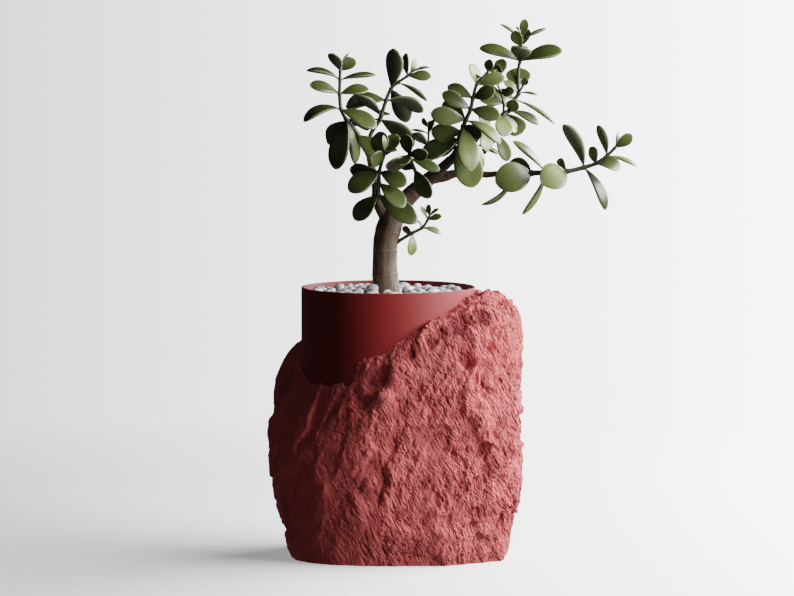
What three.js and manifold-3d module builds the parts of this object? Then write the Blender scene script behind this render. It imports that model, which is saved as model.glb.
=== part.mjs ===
// A jade plant in a plain cylindrical pot that is seated in a rough boulder-shaped stand.
// Millimetres, +Z up. The origin is on the floor under the pot's axis, and -Y is the front.
import * as THREE from "three";
import { mergeVertices } from "three/addons/utils/BufferGeometryUtils.js";
import Module from "manifold-3d";

const wasm = await Module();
wasm.setup();

// ---------- driving dimensions ----------

const SEAT_GAP = 0.3; // between pieces that rest on or grow out of each other
const BEYOND = 300; // far enough to cut past any piece
const RIM_HEIGHT = 309; // the pot's rim above the floor

const POT = {
  radius: 100,
  height: 150,
  wall: 3,
  floor: 6,
  rimRound: 0.8,
  footRound: 3,
  sides: 52,
};
const POT_FOOT = RIM_HEIGHT - POT.height;

const SOIL_TOP = RIM_HEIGHT - 22;
const FILL = { radius: POT.radius - POT.wall - 0.5, sides: 40 }; // soil and pebbles, clear of the pot's wall

const PEBBLES = {
  bedDepth: 9, // the bed's top, below the rim
  topDepth: [2.5, 5.5], // the pebbles' tops, below the rim
  firstRing: 24,
  ringSpacing: 15,
  spacing: 17, // along a ring
  wander: 1.5, // how far a pebble strays from its ring
  halfLength: [6, 9],
  narrowing: [0.7, 0.95], // width over length
  flatness: 0.72, // height over length
  seed: 11,
};

// The stand is a boulder with these nearly flat faces. Each is given by its compass angle (0 is right and -90 is
// front), its tilt upwards and its distance from the centre, and hardness is how sharply neighbours meet.
const STAND = {
  centre: new THREE.Vector3(6, 0, 150),
  hardness: 14,
  detail: 10,
  pocketGap: 0.5,
  faces: [
    { name: "right", compass: 0, tilt: 0, distance: 150 },
    { name: "right foot", compass: -3, tilt: -15, distance: 163 },
    { name: "right shoulder", compass: 0, tilt: 44, distance: 200 },
    { name: "crest", compass: 12, tilt: 82, distance: 156 },
    { name: "slope right", compass: -138, tilt: 59, distance: 126 },
    { name: "slope left", compass: -145, tilt: 47, distance: 119 },
    { name: "left shoulder", compass: 176, tilt: 41, distance: 149 },
    { name: "left", compass: 180, tilt: 0, distance: 145 },
    { name: "left foot", compass: 183, tilt: -17, distance: 159 },
    { name: "front", compass: -90, tilt: 0, distance: 121 },
    { name: "front foot", compass: -91, tilt: -14, distance: 129 },
    { name: "front right", compass: -48, tilt: 4, distance: 138 },
    { name: "front left", compass: -136, tilt: -2, distance: 134 },
    { name: "back", compass: 90, tilt: 0, distance: 121 },
    { name: "back foot", compass: 92, tilt: -14, distance: 129 },
    { name: "back top", compass: 88, tilt: 52, distance: 150 },
    { name: "back right", compass: 44, tilt: 6, distance: 140 },
    { name: "back left", compass: 138, tilt: -4, distance: 136 },
  ],
  lumps: [
    { name: "right brow", compass: 0, tilt: 33, height: 2, spread: 0.16 },
    { name: "right cheek", compass: 0, tilt: -17, height: 4, spread: 0.16 },
    { name: "left cheek", compass: 180, tilt: 20, height: 4, spread: 0.14 },
    { name: "left belly", compass: 180, tilt: -14, height: 5, spread: 0.2 },
  ],
  waves: [
    { size: 74, height: 5 },
    { size: 33, height: 3 },
  ],
};

const LEAF = {
  thickness: 0.1, // of its length
  fullAt: 1.5, // the power that puts the widest point past the middle
  bluntness: 0.56,
  root: 0.35, // how far out of the stem's axis a leaf starts, as a share of the stem's radius
  leastHalf: 0.8,
  leastArch: 0.05, // radians
  sides: 4,
  rings: 5,
  big: 30, // a longer leaf has one more ring
  small: 18, // a shorter leaf has one ring less
};
const STEM = {
  sides: 5,
  bud: 2, // how far a stem runs on past its last leaves
};

// The wood: each limb is a row of [x, y, z, radius].
const LIMB_SIDES = { trunk: 12, arm: 8, inner: 8, left: 8 };
const WOOD = {
  trunk: [
    [-3, 0, 262, 13],
    [-3, 0, 290, 15.4],
    [-3, 0, 305, 15.4],
    [-4, 0, 322, 14.3],
    [-4, 0, 341, 14],
    [-1, 0, 363, 14.4],
    [1, 0, 379, 14.8],
    [9, 0, 396, 13],
    [22, -1, 411, 10],
    [36, -3, 424, 9.2],
    [49, -4, 435, 8],
    [64, -8, 448, 5.9],
    [76, -11, 460, 5.2],
    [81, -13, 470, 4.3],
  ],
  arm: [
    [40, -1, 428, 4],
    [52, 0, 433, 6],
    [65, 1, 435.5, 5.8],
    [77, 1, 439, 4.8],
    [94, 0, 439, 4.2],
    [112, -3, 438, 3.7],
    [125, -6, 439, 3.3],
  ],
  inner: [
    [62, -7, 446, 3],
    [73, -3, 455, 4.2],
    [94, 11, 459, 3.8],
    [109, 20, 463, 3.4],
    [116, 22, 469, 3],
  ],
  left: [
    [3, 0, 384, 5],
    [-4, -1, 392, 7.6],
    [-9, -3, 400, 6.8],
    [-12.5, -3, 410, 5.8],
    [-14, -1, 423, 5],
    [-17.5, 1, 441, 4.2],
    [-22, 4, 457, 3.6],
  ],
};

// The green shoots. A stem runs through its joints: at is [x, y, z] and each joint carries the leaves listed there.
// A leaf is [lean, toward, length, width, turn, arch]: lean is clockwise from straight up as seen from the front,
// toward is how far it points at the front, turn shows more of its upper face to the front, and arch bends its tip
// down. All angles are degrees. A stem's first joint lies inside the wood or the stem that it grows from.
const SHOOTS = {
  shoot_left: [
    {
      radius: [2.7, 1.2],
      joints: [
        { at: [-22, 4, 457] },
        { at: [-25.5, 3, 465] },
        { at: [-34.7, -4, 484], leaves: [[138, 32, 39, 21, 70, 15]] },
        { at: [-46.8, -11, 500.5], leaves: [[-139, -25, 38, 21, 35, 30], [-167, 14, 58, 23, 75, 20]] },
        { at: [-48.6, -13, 503], leaves: [[168, -22, 54, 19, 60, 15], [119, -20, 31, 15, -30, 30]] },
        { at: [-53.7, -17, 513.5], leaves: [[-110, 12, 43, 18, 22, 75], [118, 20, 47, 20, 12, 40]] },
        { at: [-55.4, -20, 531], leaves: [[-73, 30, 40, 19, 25, 45], [80, -20, 35, 17, 35, 35]] },
        { at: [-55, -21, 547], leaves: [[-74, 5, 39, 17, 12, 60], [84, 0, 41, 16, 5, 40]] },
        { at: [-54.6, -21, 557.5], leaves: [[-29, 30, 26, 16, -10, 15], [52, -28, 23, 15, 10, 10]] },
        { at: [-53.4, -20, 565], leaves: [[-38, -25, 17, 9, 0, 10], [34, 15, 16, 8, 40, 20]] },
      ],
    },
  ],
  shoot_rear: [
    {
      radius: [2.6, 1.1],
      joints: [
        { at: [-20, 8, 452] },
        { at: [-22, 17, 464] },
        { at: [-20.5, 24, 482] },
        { at: [-9.5, 29, 500], leaves: [[128, 0, 49, 22, -50, 50], [-105, -35, 40, 20, 20, 40]] },
        { at: [-8.2, 29, 504], leaves: [[-50, 22, 39, 20, -15, 30], [60, -62, 34, 18, 0, 40]] },
        { at: [-2.5, 31, 522], leaves: [[-99, -15, 48, 24, -30, 65], [108, -10, 45, 20, -35, 65]] },
        { at: [3.3, 32, 535.5], leaves: [[4, 14, 47, 22, -72, 12], [155, -20, 44, 21, 70, 15]] },
        { at: [10.7, 32, 542], leaves: [[122, -8, 40, 16, -15, 45], [-14, -42, 34, 16, 0, 20]] },
        { at: [22.2, 31, 550], leaves: [[-3, 4, 26, 12, 50, 15], [92, 10, 27, 14, 40, 15]] },
        { at: [25.6, 31, 553], leaves: [[72, 5, 23, 11, 5, 50], [18, -22, 18, 9, 0, 10]] },
      ],
    },
  ],
  shoot_front: [
    {
      radius: [2.6, 1.3],
      joints: [
        { at: [-12.5, -3, 408] },
        { at: [-12, -17, 416], leaves: [[-139, 12, 42, 21, 60, 20], [125, 20, 57, 23, 55, 25]] },
        { at: [-10.5, -31, 430.5], leaves: [[138, 26, 43, 20, 60, 25]] },
        {
          at: [-10, -41, 443.5],
          leaves: [[-122, 17, 42, 22, 50, 20], [-78, -14, 34, 18, 10, 30], [114, 12, 34, 19, 45, 20]],
        },
        {
          at: [-5.4, -50, 460.5],
          leaves: [[-88, 60, 28, 14, 0, 30], [-12, -26, 31, 21, 0, 20], [32, -12, 30, 18, 10, 20]],
        },
        { at: [-4, -53, 466], leaves: [[-5, 6, 20, 9, 0, 10], [80, 40, 18, 9, 0, 20]] },
      ],
    },
  ],
  shoot_centre: [
    {
      radius: [2.2, 1.2],
      joints: [
        { at: [34, -3, 422] },
        { at: [32.5, -20, 436] },
        { at: [30, -32, 446], leaves: [[157, 16, 38, 19, 60, 20], [-60, -45, 26, 15, 0, 20]] },
        { at: [25.6, -46, 458.5], leaves: [[-116, 34, 34, 19, 50, 20], [112, 5, 37, 12, 15, 10]] },
        {
          at: [23.8, -52, 463.5],
          leaves: [[-8, 16, 26, 15, 0, 10], [-140, 52, 23, 14, 30, 20], [84, 30, 24, 15, 10, 20]],
        },
      ],
    },
  ],
  twig_low: [
    {
      radius: [1.5, 0.9],
      joints: [
        { at: [6, 0, 356] },
        { at: [13, -3, 362] },
        { at: [27.4, -6, 371], leaves: [[-74, -48, 14, 11, -20, 20], [-177, 4, 24, 11, -50, 10]] },
        { at: [38.9, -7, 377.3], leaves: [[-34, -30, 12, 6, 0, 10], [108, 5, 21, 9, 10, 50]] },
        { at: [45.3, -8, 386.5], leaves: [[-26, 8, 15, 7, 20, 5], [72, 8, 14, 7, 40, 10]] },
        { at: [47.4, -8, 391], leaves: [[-2, 5, 9, 4, 0, 5], [58, 0, 8, 4, 0, 5]] },
      ],
    },
  ],
  twig_small: [
    {
      radius: [1.6, 0.9],
      joints: [
        { at: [55, -6, 440] },
        { at: [47.5, 8, 455] },
        { at: [45.8, 11, 470.5], leaves: [[-51, 12, 23, 13, -40, 10], [70, -50, 20, 12, 0, 20]] },
        { at: [46.5, 11, 484.5], leaves: [[-78, -5, 20, 10, 0, 30], [23, 5, 17, 9, 30, 10]] },
        { at: [46.4, 11, 491], leaves: [[-30, 5, 13, 7, 20, 5], [12, -30, 9, 5, 0, 5]] },
      ],
    },
  ],
  crown_left: [
    {
      radius: [2.9, 1.1],
      joints: [
        { at: [81, -13, 469] },
        {
          at: [82, -18, 480.5],
          leaves: [[-117, 14, 50, 22, 40, 15], [167, 12, 56, 30, 75, 10], [-121, -22, 40, 17, -20, 10]],
        },
        { at: [84, -22, 488], leaves: [[-75, 12, 36, 21, 55, 20], [150, -14, 44, 17, 55, 15]] },
        { at: [85.8, -25, 494.5], leaves: [[163, 24, 48, 26, 75, 12], [118, 20, 24, 18, 50, 15]] },
        {
          at: [88.4, -28, 501.5],
          leaves: [[-78, 12, 41, 20, 50, 12], [-50, -26, 35, 19, 30, 20], [124, 8, 47, 16, 20, 60]],
        },
        { at: [93.8, -31, 514], leaves: [[-60, 8, 37, 18, 40, 35], [104, 20, 36, 17, 40, 35]] },
        { at: [96.4, -34, 526.5], leaves: [[-64, -14, 32, 18, 35, 35], [67, 20, 28, 16, 50, 20]] },
        { at: [100.7, -35, 542], leaves: [[-21, -14, 25, 13, 15, 10], [74, -12, 33, 16, 30, 20]] },
        { at: [106.3, -35, 549], leaves: [[-60, -30, 12, 7, 0, 10]] },
        { at: [113.5, -35, 557], leaves: [[9, 8, 16, 10, 0, 10], [80, -20, 10, 7, 0, 10]] },
      ],
    },
  ],
  crown_inner: [
    {
      radius: [2.2, 1.2],
      joints: [
        { at: [94, 11, 459] },
        { at: [99, 17, 472], leaves: [[112, 8, 30, 16, 10, 20], [-70, -45, 28, 16, 0, 20]] },
        { at: [109, 14, 487], leaves: [[170, 24, 25, 16, 70, 15], [0, -35, 30, 18, 0, 20]] },
      ],
    },
  ],
  crown_right: [
    {
      radius: [2.7, 1.1],
      joints: [
        { at: [115.5, 22, 468] },
        { at: [125.2, 31, 483], leaves: [[158, 10, 33, 15, 40, 15], [150, -22, 34, 9, 0, 10]] },
        { at: [132.6, 36, 505], leaves: [[-178, 38, 30, 21, 60, 15], [143, -20, 24, 15, 60, 15]] },
        { at: [135, 38, 507], leaves: [[146, -38, 33, 18, 50, 20]] },
        {
          at: [140, 39, 510],
          leaves: [[29, 50, 21, 15, 0, 20], [115, 4, 37, 16, 15, 40], [-41, -14, 30, 14, 30, 10]],
        },
        { at: [145.8, 39, 522.5], leaves: [[125, 8, 53, 16, 5, 30], [-62, 10, 21, 11, 10, 30]] },
        { at: [150.5, 39, 530], leaves: [[-52, 8, 21, 12, 15, 40], [95, 4, 21, 11, 5, 45]] },
        { at: [150.2, 42, 538], leaves: [[0, -24, 28, 29, 0, 15]] },
        { at: [150.2, 42, 558] },
        {
          at: [152, 42, 566.5],
          leaves: [
            [-72, 4, 49, 23, 40, 40],
            [77, 4, 50, 23, 35, 50],
            [0, 58, 37, 24, 0, 25],
            [0, -60, 34, 20, 0, 30],
          ],
        },
        { at: [153.6, 42, 584], leaves: [[-29, 12, 20, 13, -30, 10], [20, -22, 22, 15, 0, 10]] },
        { at: [154.2, 42, 590], leaves: [[-52, 4, 31, 13, 5, 12], [63, 2, 31, 13, 8, 30]] },
        { at: [155, 42, 595], leaves: [[7, 6, 20, 11, 0, 10], [-32, -20, 14, 9, 0, 10]] },
      ],
    },
    {
      radius: [1.5, 1],
      joints: [
        { at: [132.6, 36, 505] },
        { at: [133, 34, 518], leaves: [[-80, 10, 28, 13, 40, 15], [-102, -25, 24, 10, 10, 10]] },
        { at: [129.5, 31, 531], leaves: [[-78, -22, 24, 14, 5, 20], [88, 42, 20, 12, 5, 15]] },
        {
          at: [123.5, 28, 546.5],
          leaves: [[12, 16, 17, 13, 10, 10], [22, -22, 26, 14, 0, 15], [108, -6, 13, 9, 10, 10]],
        },
      ],
    },
    {
      radius: [1.3, 0.9],
      joints: [
        { at: [150.5, 39, 530] },
        { at: [155, 31, 538.5], leaves: [[25, 12, 10, 8, 0, 5], [-30, 5, 9, 6, 0, 5]] },
      ],
    },
  ],
  shoot_arm: [
    {
      radius: [3, 1],
      joints: [
        { at: [124, -6, 439] },
        { at: [143.6, -10, 439.5], leaves: [[-17, 4, 15, 12, 25, 15], [-134, 4, 50, 16, 0, 75]] },
        { at: [164.3, -13, 440.3], leaves: [[-104, 12, 43, 34, 34, 15], [-62, -35, 38, 22, -30, 50]] },
        { at: [180, -14, 441], leaves: [[-50, 2, 50, 16, 8, 35], [-151, 2, 54, 16, 0, 15]] },
        { at: [199, -14, 442], leaves: [[-113, 36, 38, 33, 25, 10], [-14, -52, 28, 18, -20, 30]] },
        { at: [224, -11, 446.7], leaves: [[-26, 4, 54, 22, -50, 65], [152, 2, 54, 20, -20, 60]] },
        { at: [238.4, -10, 451.6], leaves: [[77, 55, 33, 21, 0, 20], [-23, -42, 24, 14, 0, 20]] },
        { at: [250.5, -8, 460], leaves: [[-17, 2, 36, 15, -20, 35], [109, 0, 36, 13, 0, 35]] },
        { at: [259.7, -8, 469.2], leaves: [[52, 8, 22, 13, 20, 5], [9, -4, 15, 9, 40, 5]] },
      ],
    },
  ],
};

const COLOURS = {
  stand: { color: 0xa63c3c, roughness: 0.95, metalness: 0 },
  pot: { color: 0x9c3434, roughness: 0.6, metalness: 0 },
  soil: { color: 0x3a2a20, roughness: 1, metalness: 0 },
  pebbles: { color: 0xcfcfcb, roughness: 0.7, metalness: 0 },
  wood: { color: 0x6b5646, roughness: 0.9, metalness: 0 },
  green: { color: 0x4d6128, roughness: 0.45, metalness: 0 },
};

// ---------- solids and meshes ----------

const part = new THREE.Group();

// A closed geometry as a manifold-3d solid.
function solid(geometry) {
  const bare = new THREE.BufferGeometry();
  bare.setAttribute("position", geometry.getAttribute("position"));
  bare.setIndex(geometry.index);
  const merged = mergeVertices(bare, 1e-4);
  return new wasm.Manifold(
    new wasm.Mesh({
      numProp: 3,
      vertProperties: new Float32Array(merged.attributes.position.array),
      triVerts: new Uint32Array(merged.index.array),
    }),
  );
}

function joined(solids) {
  return solids.reduce((whole, next) => whole.add(next));
}

// Adds a solid to the part as a named mesh with its own material.
function addPiece(name, made, colour) {
  const { vertProperties, triVerts } = made.getMesh();
  const geometry = new THREE.BufferGeometry();
  geometry.setAttribute("position", new THREE.BufferAttribute(vertProperties, 3));
  geometry.setIndex(new THREE.BufferAttribute(triVerts, 1));
  geometry.computeVertexNormals();
  const mesh = new THREE.Mesh(geometry, new THREE.MeshStandardMaterial({ ...colour, flatShading: true }));
  mesh.name = name;
  part.add(mesh);
}

// Moves every vertex of a geometry by a rule.
function reshape(geometry, rule) {
  const position = geometry.getAttribute("position");
  const point = new THREE.Vector3();
  for (let i = 0; i < position.count; i += 1) {
    point.fromBufferAttribute(position, i);
    const moved = rule(point.clone());
    position.setXYZ(i, moved.x, moved.y, moved.z);
  }
  return geometry;
}

// A profile of [radius, height] turned about the vertical axis.
function turned(profile, sides) {
  const points = profile.map(([r, z]) => new THREE.Vector2(r, z));
  return solid(new THREE.LatheGeometry(points, sides).rotateX(Math.PI / 2));
}

// Repeatable random draws from a range.
function drawer(seed) {
  let state = seed;
  return ([low, high]) => {
    state = (Math.imul(state, 1664525) + 1013904223) >>> 0;
    return THREE.MathUtils.lerp(low, high, state / 2 ** 32);
  };
}

const radians = THREE.MathUtils.degToRad;

// ---------- the boulder stand ----------

// A repeatable value from 0 to 1 for a corner of the grid of whole numbers.
function corner(x, y, z) {
  let hash = Math.imul(x, 73856093) ^ Math.imul(y, 19349663) ^ Math.imul(z, 83492791);
  hash = Math.imul(hash ^ (hash >>> 13), 1274126177);
  return ((hash ^ (hash >>> 16)) >>> 0) / 2 ** 32;
}

// Smooth noise from -1 to 1 with features about one unit across.
function noise(p) {
  const [x, y, z] = [p.x, p.y, p.z].map(Math.floor);
  const [u, v, w] = [p.x - x, p.y - y, p.z - z].map((t) => t * t * (3 - 2 * t));
  const mix = THREE.MathUtils.lerp;
  const edge = (j, k) => mix(corner(x, y + j, z + k), corner(x + 1, y + j, z + k), u);
  return 2 * mix(mix(edge(0, 0), edge(1, 0), v), mix(edge(0, 1), edge(1, 1), v), w) - 1;
}

function facing(compass, tilt) {
  const [a, e] = [radians(compass), radians(tilt)];
  return new THREE.Vector3(Math.cos(e) * Math.cos(a), Math.cos(e) * Math.sin(a), Math.sin(e));
}

const standFaces = STAND.faces.map((f) => ({ normal: facing(f.compass, f.tilt), distance: f.distance }));
const standLumps = STAND.lumps.map((l) => ({ ...l, normal: facing(l.compass, l.tilt) }));

// How far the boulder's skin is from its centre along a unit direction.
function standReach(direction) {
  let sum = 0;
  for (const { normal, distance } of standFaces) {
    sum += (Math.max(0, normal.dot(direction)) / distance) ** STAND.hardness;
  }
  let reach = sum ** (-1 / STAND.hardness);
  for (const { normal, height, spread } of standLumps) {
    reach += height * Math.exp(-((normal.angleTo(direction) / spread) ** 2) / 2);
  }
  const skin = direction.clone().multiplyScalar(reach);
  for (const { size, height } of STAND.waves) {
    reach += height * noise(skin.clone().divideScalar(size));
  }
  return reach;
}

function makeStand() {
  const ball = new THREE.IcosahedronGeometry(1, STAND.detail);
  reshape(ball, (p) => p.normalize().multiplyScalar(standReach(p)).add(STAND.centre));
  const underFloor = new THREE.BoxGeometry(2 * BEYOND, 2 * BEYOND, 2 * BEYOND).translate(0, 0, -BEYOND);
  const radius = POT.radius + STAND.pocketGap;
  const pocket = turned(
    [
      [0, POT_FOOT - SEAT_GAP],
      [radius, POT_FOOT - SEAT_GAP],
      [radius, RIM_HEIGHT + BEYOND],
      [0, RIM_HEIGHT + BEYOND],
    ],
    POT.sides,
  );
  return solid(ball).subtract(solid(underFloor)).subtract(pocket);
}

// ---------- the pot and what fills it ----------

function makePot() {
  const { radius, wall, floor, rimRound, footRound, sides } = POT;
  const inside = radius - wall;
  return turned(
    [
      [0, POT_FOOT],
      [radius - footRound, POT_FOOT],
      [radius, POT_FOOT + footRound],
      [radius, RIM_HEIGHT - rimRound],
      [radius - rimRound, RIM_HEIGHT],
      [inside + rimRound, RIM_HEIGHT],
      [inside, RIM_HEIGHT - rimRound],
      [inside, POT_FOOT + floor + footRound],
      [inside - footRound, POT_FOOT + floor],
      [0, POT_FOOT + floor],
    ],
    sides,
  );
}

function makeSoil(hole) {
  const bottom = POT_FOOT + POT.floor + SEAT_GAP;
  return turned(
    [
      [0, bottom],
      [FILL.radius - POT.footRound, bottom],
      [FILL.radius, bottom + POT.footRound],
      [FILL.radius, SOIL_TOP],
      [0, SOIL_TOP],
    ],
    FILL.sides,
  ).subtract(hole);
}

// One pebble: a squashed ball with few sides, standing out of the bed.
function pebble(x, y, draw) {
  const half = draw(PEBBLES.halfLength);
  const height = half * PEBBLES.flatness;
  const ball = new THREE.SphereGeometry(1, 6, 4);
  ball.scale(half, height, half * draw(PEBBLES.narrowing)).rotateX(Math.PI / 2).rotateZ(draw([0, Math.PI]));
  return solid(ball.translate(x, y, RIM_HEIGHT - draw(PEBBLES.topDepth) - height));
}

// A bed that reaches the pot's wall, with rings of pebbles standing out of it.
function makePebbles(hole) {
  const draw = drawer(PEBBLES.seed);
  const bedTop = RIM_HEIGHT - PEBBLES.bedDepth;
  const bed = turned(
    [
      [0, SOIL_TOP + SEAT_GAP],
      [FILL.radius, SOIL_TOP + SEAT_GAP],
      [FILL.radius, bedTop],
      [0, bedTop],
    ],
    FILL.sides,
  );
  const stones = [bed];
  const lastRing = FILL.radius - PEBBLES.halfLength[1];
  for (let ring = PEBBLES.firstRing; ring < lastRing; ring += PEBBLES.ringSpacing) {
    const count = Math.round((2 * Math.PI * ring) / PEBBLES.spacing);
    for (let i = 0; i < count; i += 1) {
      const angle = ((i + draw([0, 0.5])) / count) * 2 * Math.PI + ring;
      const out = ring + draw([-PEBBLES.wander, PEBBLES.wander]);
      stones.push(pebble(out * Math.cos(angle), out * Math.sin(angle), draw));
    }
  }
  return joined(stones).subtract(hole);
}

// ---------- wood, stems and leaves ----------

const FRONT = new THREE.Vector3(0, -1, 0);

// A round rod with closed ends through points, with a radius at each, grown on every side by extra.
function rod(points, radii, sides, extra = 0) {
  const curve = new THREE.CatmullRomCurve3(points, false, "centripetal");
  const steps = points.length - 1;
  const straight = new THREE.CylinderGeometry(1, 1, 1, sides, steps);
  return solid(
    reshape(straight, (p) => {
      const step = Math.round((0.5 - p.y) * steps);
      const tangent = curve.getTangent(step / steps);
      const across = new THREE.Vector3().crossVectors(FRONT, tangent).normalize();
      const deep = new THREE.Vector3().crossVectors(tangent, across);
      const radius = radii[step] + extra;
      const pastEnd = extra * (Number(step === steps) - Number(step === 0));
      return points[step]
        .clone()
        .addScaledVector(tangent, pastEnd)
        .addScaledVector(across, p.x * radius)
        .addScaledVector(deep, p.z * radius);
    }),
  );
}

// All the wood as one solid, grown on every side by extra.
function makeWood(extra) {
  const limbs = Object.entries(WOOD).map(([name, rows]) => {
    const points = rows.map(([x, y, z]) => new THREE.Vector3(x, y, z));
    const radii = rows.map(([, , , radius]) => radius);
    return rod(points, radii, LIMB_SIDES[name], extra);
  });
  return joined(limbs);
}

// The half width of a leaf at a share of its length, where 1 is its widest.
function leafOutline(share) {
  return Math.sin(Math.PI * share ** LEAF.fullAt) ** LEAF.bluntness;
}

// A fleshy leaf: a ball drawn out along an arc from its root.
function leaf(joint, stemDirection, stemRadius, [lean, toward, length, width, turn, arch]) {
  const [a, t] = [radians(lean), radians(toward)];
  const along = new THREE.Vector3(Math.sin(a) * Math.cos(t), -Math.sin(t), Math.cos(a) * Math.cos(t));
  const upper = stemDirection.clone().addScaledVector(along, -stemDirection.dot(along)).normalize();
  const shown = FRONT.clone().addScaledVector(along, -FRONT.dot(along)).normalize();
  const sense = Math.sign(new THREE.Vector3().crossVectors(upper, shown).dot(along)) || 1;
  upper.applyAxisAngle(along, sense * radians(turn));
  const side = new THREE.Vector3().crossVectors(upper, along);
  const bend = Math.max(radians(arch), LEAF.leastArch);
  const arc = length / (2 * Math.sin(bend / 2));
  const rings = LEAF.rings + Number(length > LEAF.big) - Number(length < LEAF.small);
  const ball = new THREE.SphereGeometry(1, LEAF.sides, rings);
  const root = joint.clone().addScaledVector(along, LEAF.root * stemRadius);
  reshape(ball, (p) => {
    const share = 0.5 * (1 - p.y);
    const ring = Math.hypot(p.x, p.z) || 1;
    const outline = leafOutline(share);
    const across = (p.x / ring) * Math.max(0.5 * width * outline, LEAF.leastHalf);
    const up = (p.z / ring) * Math.max(0.5 * LEAF.thickness * length * outline, LEAF.leastHalf);
    // The arc rises for half of the leaf and falls for the other half.
    const angle = bend * (0.5 - share);
    const forward = arc * (Math.sin(bend / 2) - Math.sin(angle)) - up * Math.sin(angle);
    const rise = arc * (Math.cos(angle) - Math.cos(bend / 2)) + up * Math.cos(angle);
    return root.clone().addScaledVector(along, forward).addScaledVector(upper, rise).addScaledVector(side, across);
  });
  return solid(ball);
}

// One leafy shoot: its stems with the leaves at their joints, as one solid.
function makeShoot(stems) {
  const pieces = [];
  for (const { radius, joints } of stems) {
    const points = joints.map(({ at }) => new THREE.Vector3(...at));
    const [last, previous] = [points.at(-1), points.at(-2)];
    points.push(last.clone().add(last.clone().sub(previous).setLength(STEM.bud)));
    const radii = points.map((_, i) => THREE.MathUtils.lerp(...radius, i / (points.length - 1)));
    pieces.push(rod(points, radii, STEM.sides));
    joints.forEach(({ leaves = [] }, i) => {
      const before = points[Math.max(0, i - 1)];
      const stemDirection = points[i + 1].clone().sub(before).normalize();
      leaves.forEach((shape) => pieces.push(leaf(points[i], stemDirection, radii[i], shape)));
    });
  }
  return joined(pieces);
}

// ---------- assembly ----------

const wood = makeWood(0);
const woodWithGap = makeWood(SEAT_GAP);

addPiece("stand", makeStand(), COLOURS.stand);
addPiece("pot", makePot(), COLOURS.pot);
addPiece("soil", makeSoil(woodWithGap), COLOURS.soil);
addPiece("pebbles", makePebbles(woodWithGap), COLOURS.pebbles);
addPiece("trunk", wood, COLOURS.wood);
for (const [name, stems] of Object.entries(SHOOTS)) {
  addPiece(name, makeShoot(stems).subtract(woodWithGap), COLOURS.green);
}

export default part;
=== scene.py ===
"""A jade plant in a plain round pot that is seated in a rough boulder-shaped stand.

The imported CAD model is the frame, and each of its nodes that shows is replaced by a finer piece in the same
place. Tables are in millimetres and degrees, as on the CAD model, unless they say otherwise. Meshes,
settings and shader values are in metres.
"""

import math
from typing import NamedTuple

import bpy
import numpy as np
from bpy.props import FloatProperty, FloatVectorProperty, IntProperty, PointerProperty
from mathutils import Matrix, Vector


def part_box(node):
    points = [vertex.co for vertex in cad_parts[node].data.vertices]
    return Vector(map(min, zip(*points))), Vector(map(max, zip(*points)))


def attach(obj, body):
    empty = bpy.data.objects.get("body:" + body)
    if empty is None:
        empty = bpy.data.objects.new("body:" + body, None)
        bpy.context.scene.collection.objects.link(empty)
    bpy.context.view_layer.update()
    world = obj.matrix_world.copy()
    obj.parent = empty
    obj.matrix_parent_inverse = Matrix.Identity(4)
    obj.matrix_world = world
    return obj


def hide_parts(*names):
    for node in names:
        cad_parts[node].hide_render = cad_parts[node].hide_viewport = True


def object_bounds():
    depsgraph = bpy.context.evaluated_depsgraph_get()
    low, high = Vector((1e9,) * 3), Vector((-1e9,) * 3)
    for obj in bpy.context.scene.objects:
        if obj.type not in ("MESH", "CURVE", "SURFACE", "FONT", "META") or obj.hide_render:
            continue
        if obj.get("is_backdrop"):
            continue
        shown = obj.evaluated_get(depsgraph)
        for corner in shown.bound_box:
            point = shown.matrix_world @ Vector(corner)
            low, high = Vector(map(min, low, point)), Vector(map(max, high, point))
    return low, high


bl_info = {
    "name": "Potted Jade Plant",
    "version": (1, 0, 0),
    "blender": (4, 5, 0),
    "location": "3D View > Sidebar > Jade Plant",
    "description": "A small jade tree in a round pot, seated in a rough boulder stand",
    "category": "Add Mesh",
}

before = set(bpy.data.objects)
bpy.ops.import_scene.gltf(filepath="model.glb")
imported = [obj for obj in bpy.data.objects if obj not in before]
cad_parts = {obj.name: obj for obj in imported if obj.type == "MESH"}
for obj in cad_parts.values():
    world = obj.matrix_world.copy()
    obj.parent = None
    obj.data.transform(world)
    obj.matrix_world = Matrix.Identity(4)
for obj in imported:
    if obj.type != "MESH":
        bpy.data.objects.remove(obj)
CAD_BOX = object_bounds()
POT_LOW, POT_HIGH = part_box("pot")

MM = 0.001
RIM = 1000 * POT_HIGH[2]  # height of the pot's rim, in millimetres
BODY = "root"
FRONT = np.array([0.0, -1.0, 0.0])
SUNNY = np.array([0.9, 0.0, 0.45])  # the side that the plant's light comes from

# ---------- the tables ----------

# The stand is a boulder with nearly flat faces: compass angle (0 is right, -90 is front), tilt upwards and
# distance of each.
STAND_CENTRE = (6, 0, 150)
STAND_HARDNESS = 14.0  # the harder, the sharper the edges between the faces
STAND_FACES = {
    "right": (0, 0, 150),
    "right foot": (-3, -15, 163),
    "right shoulder": (0, 44, 200),
    "crest": (12, 82, 156),
    "slope right": (-138, 59, 126),
    "slope left": (-145, 47, 119),
    "left shoulder": (176, 41, 149),
    "left": (180, 0, 145),
    "left foot": (183, -17, 159),
    "front": (-90, 0, 121),
    "front foot": (-91, -14, 129),
    "front right": (-48, 4, 138),
    "front left": (-136, -2, 134),
    "back": (90, 0, 121),
    "back foot": (92, -14, 129),
    "back top": (88, 52, 150),
    "back right": (44, 6, 140),
    "back left": (138, -4, 136),
}
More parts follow.
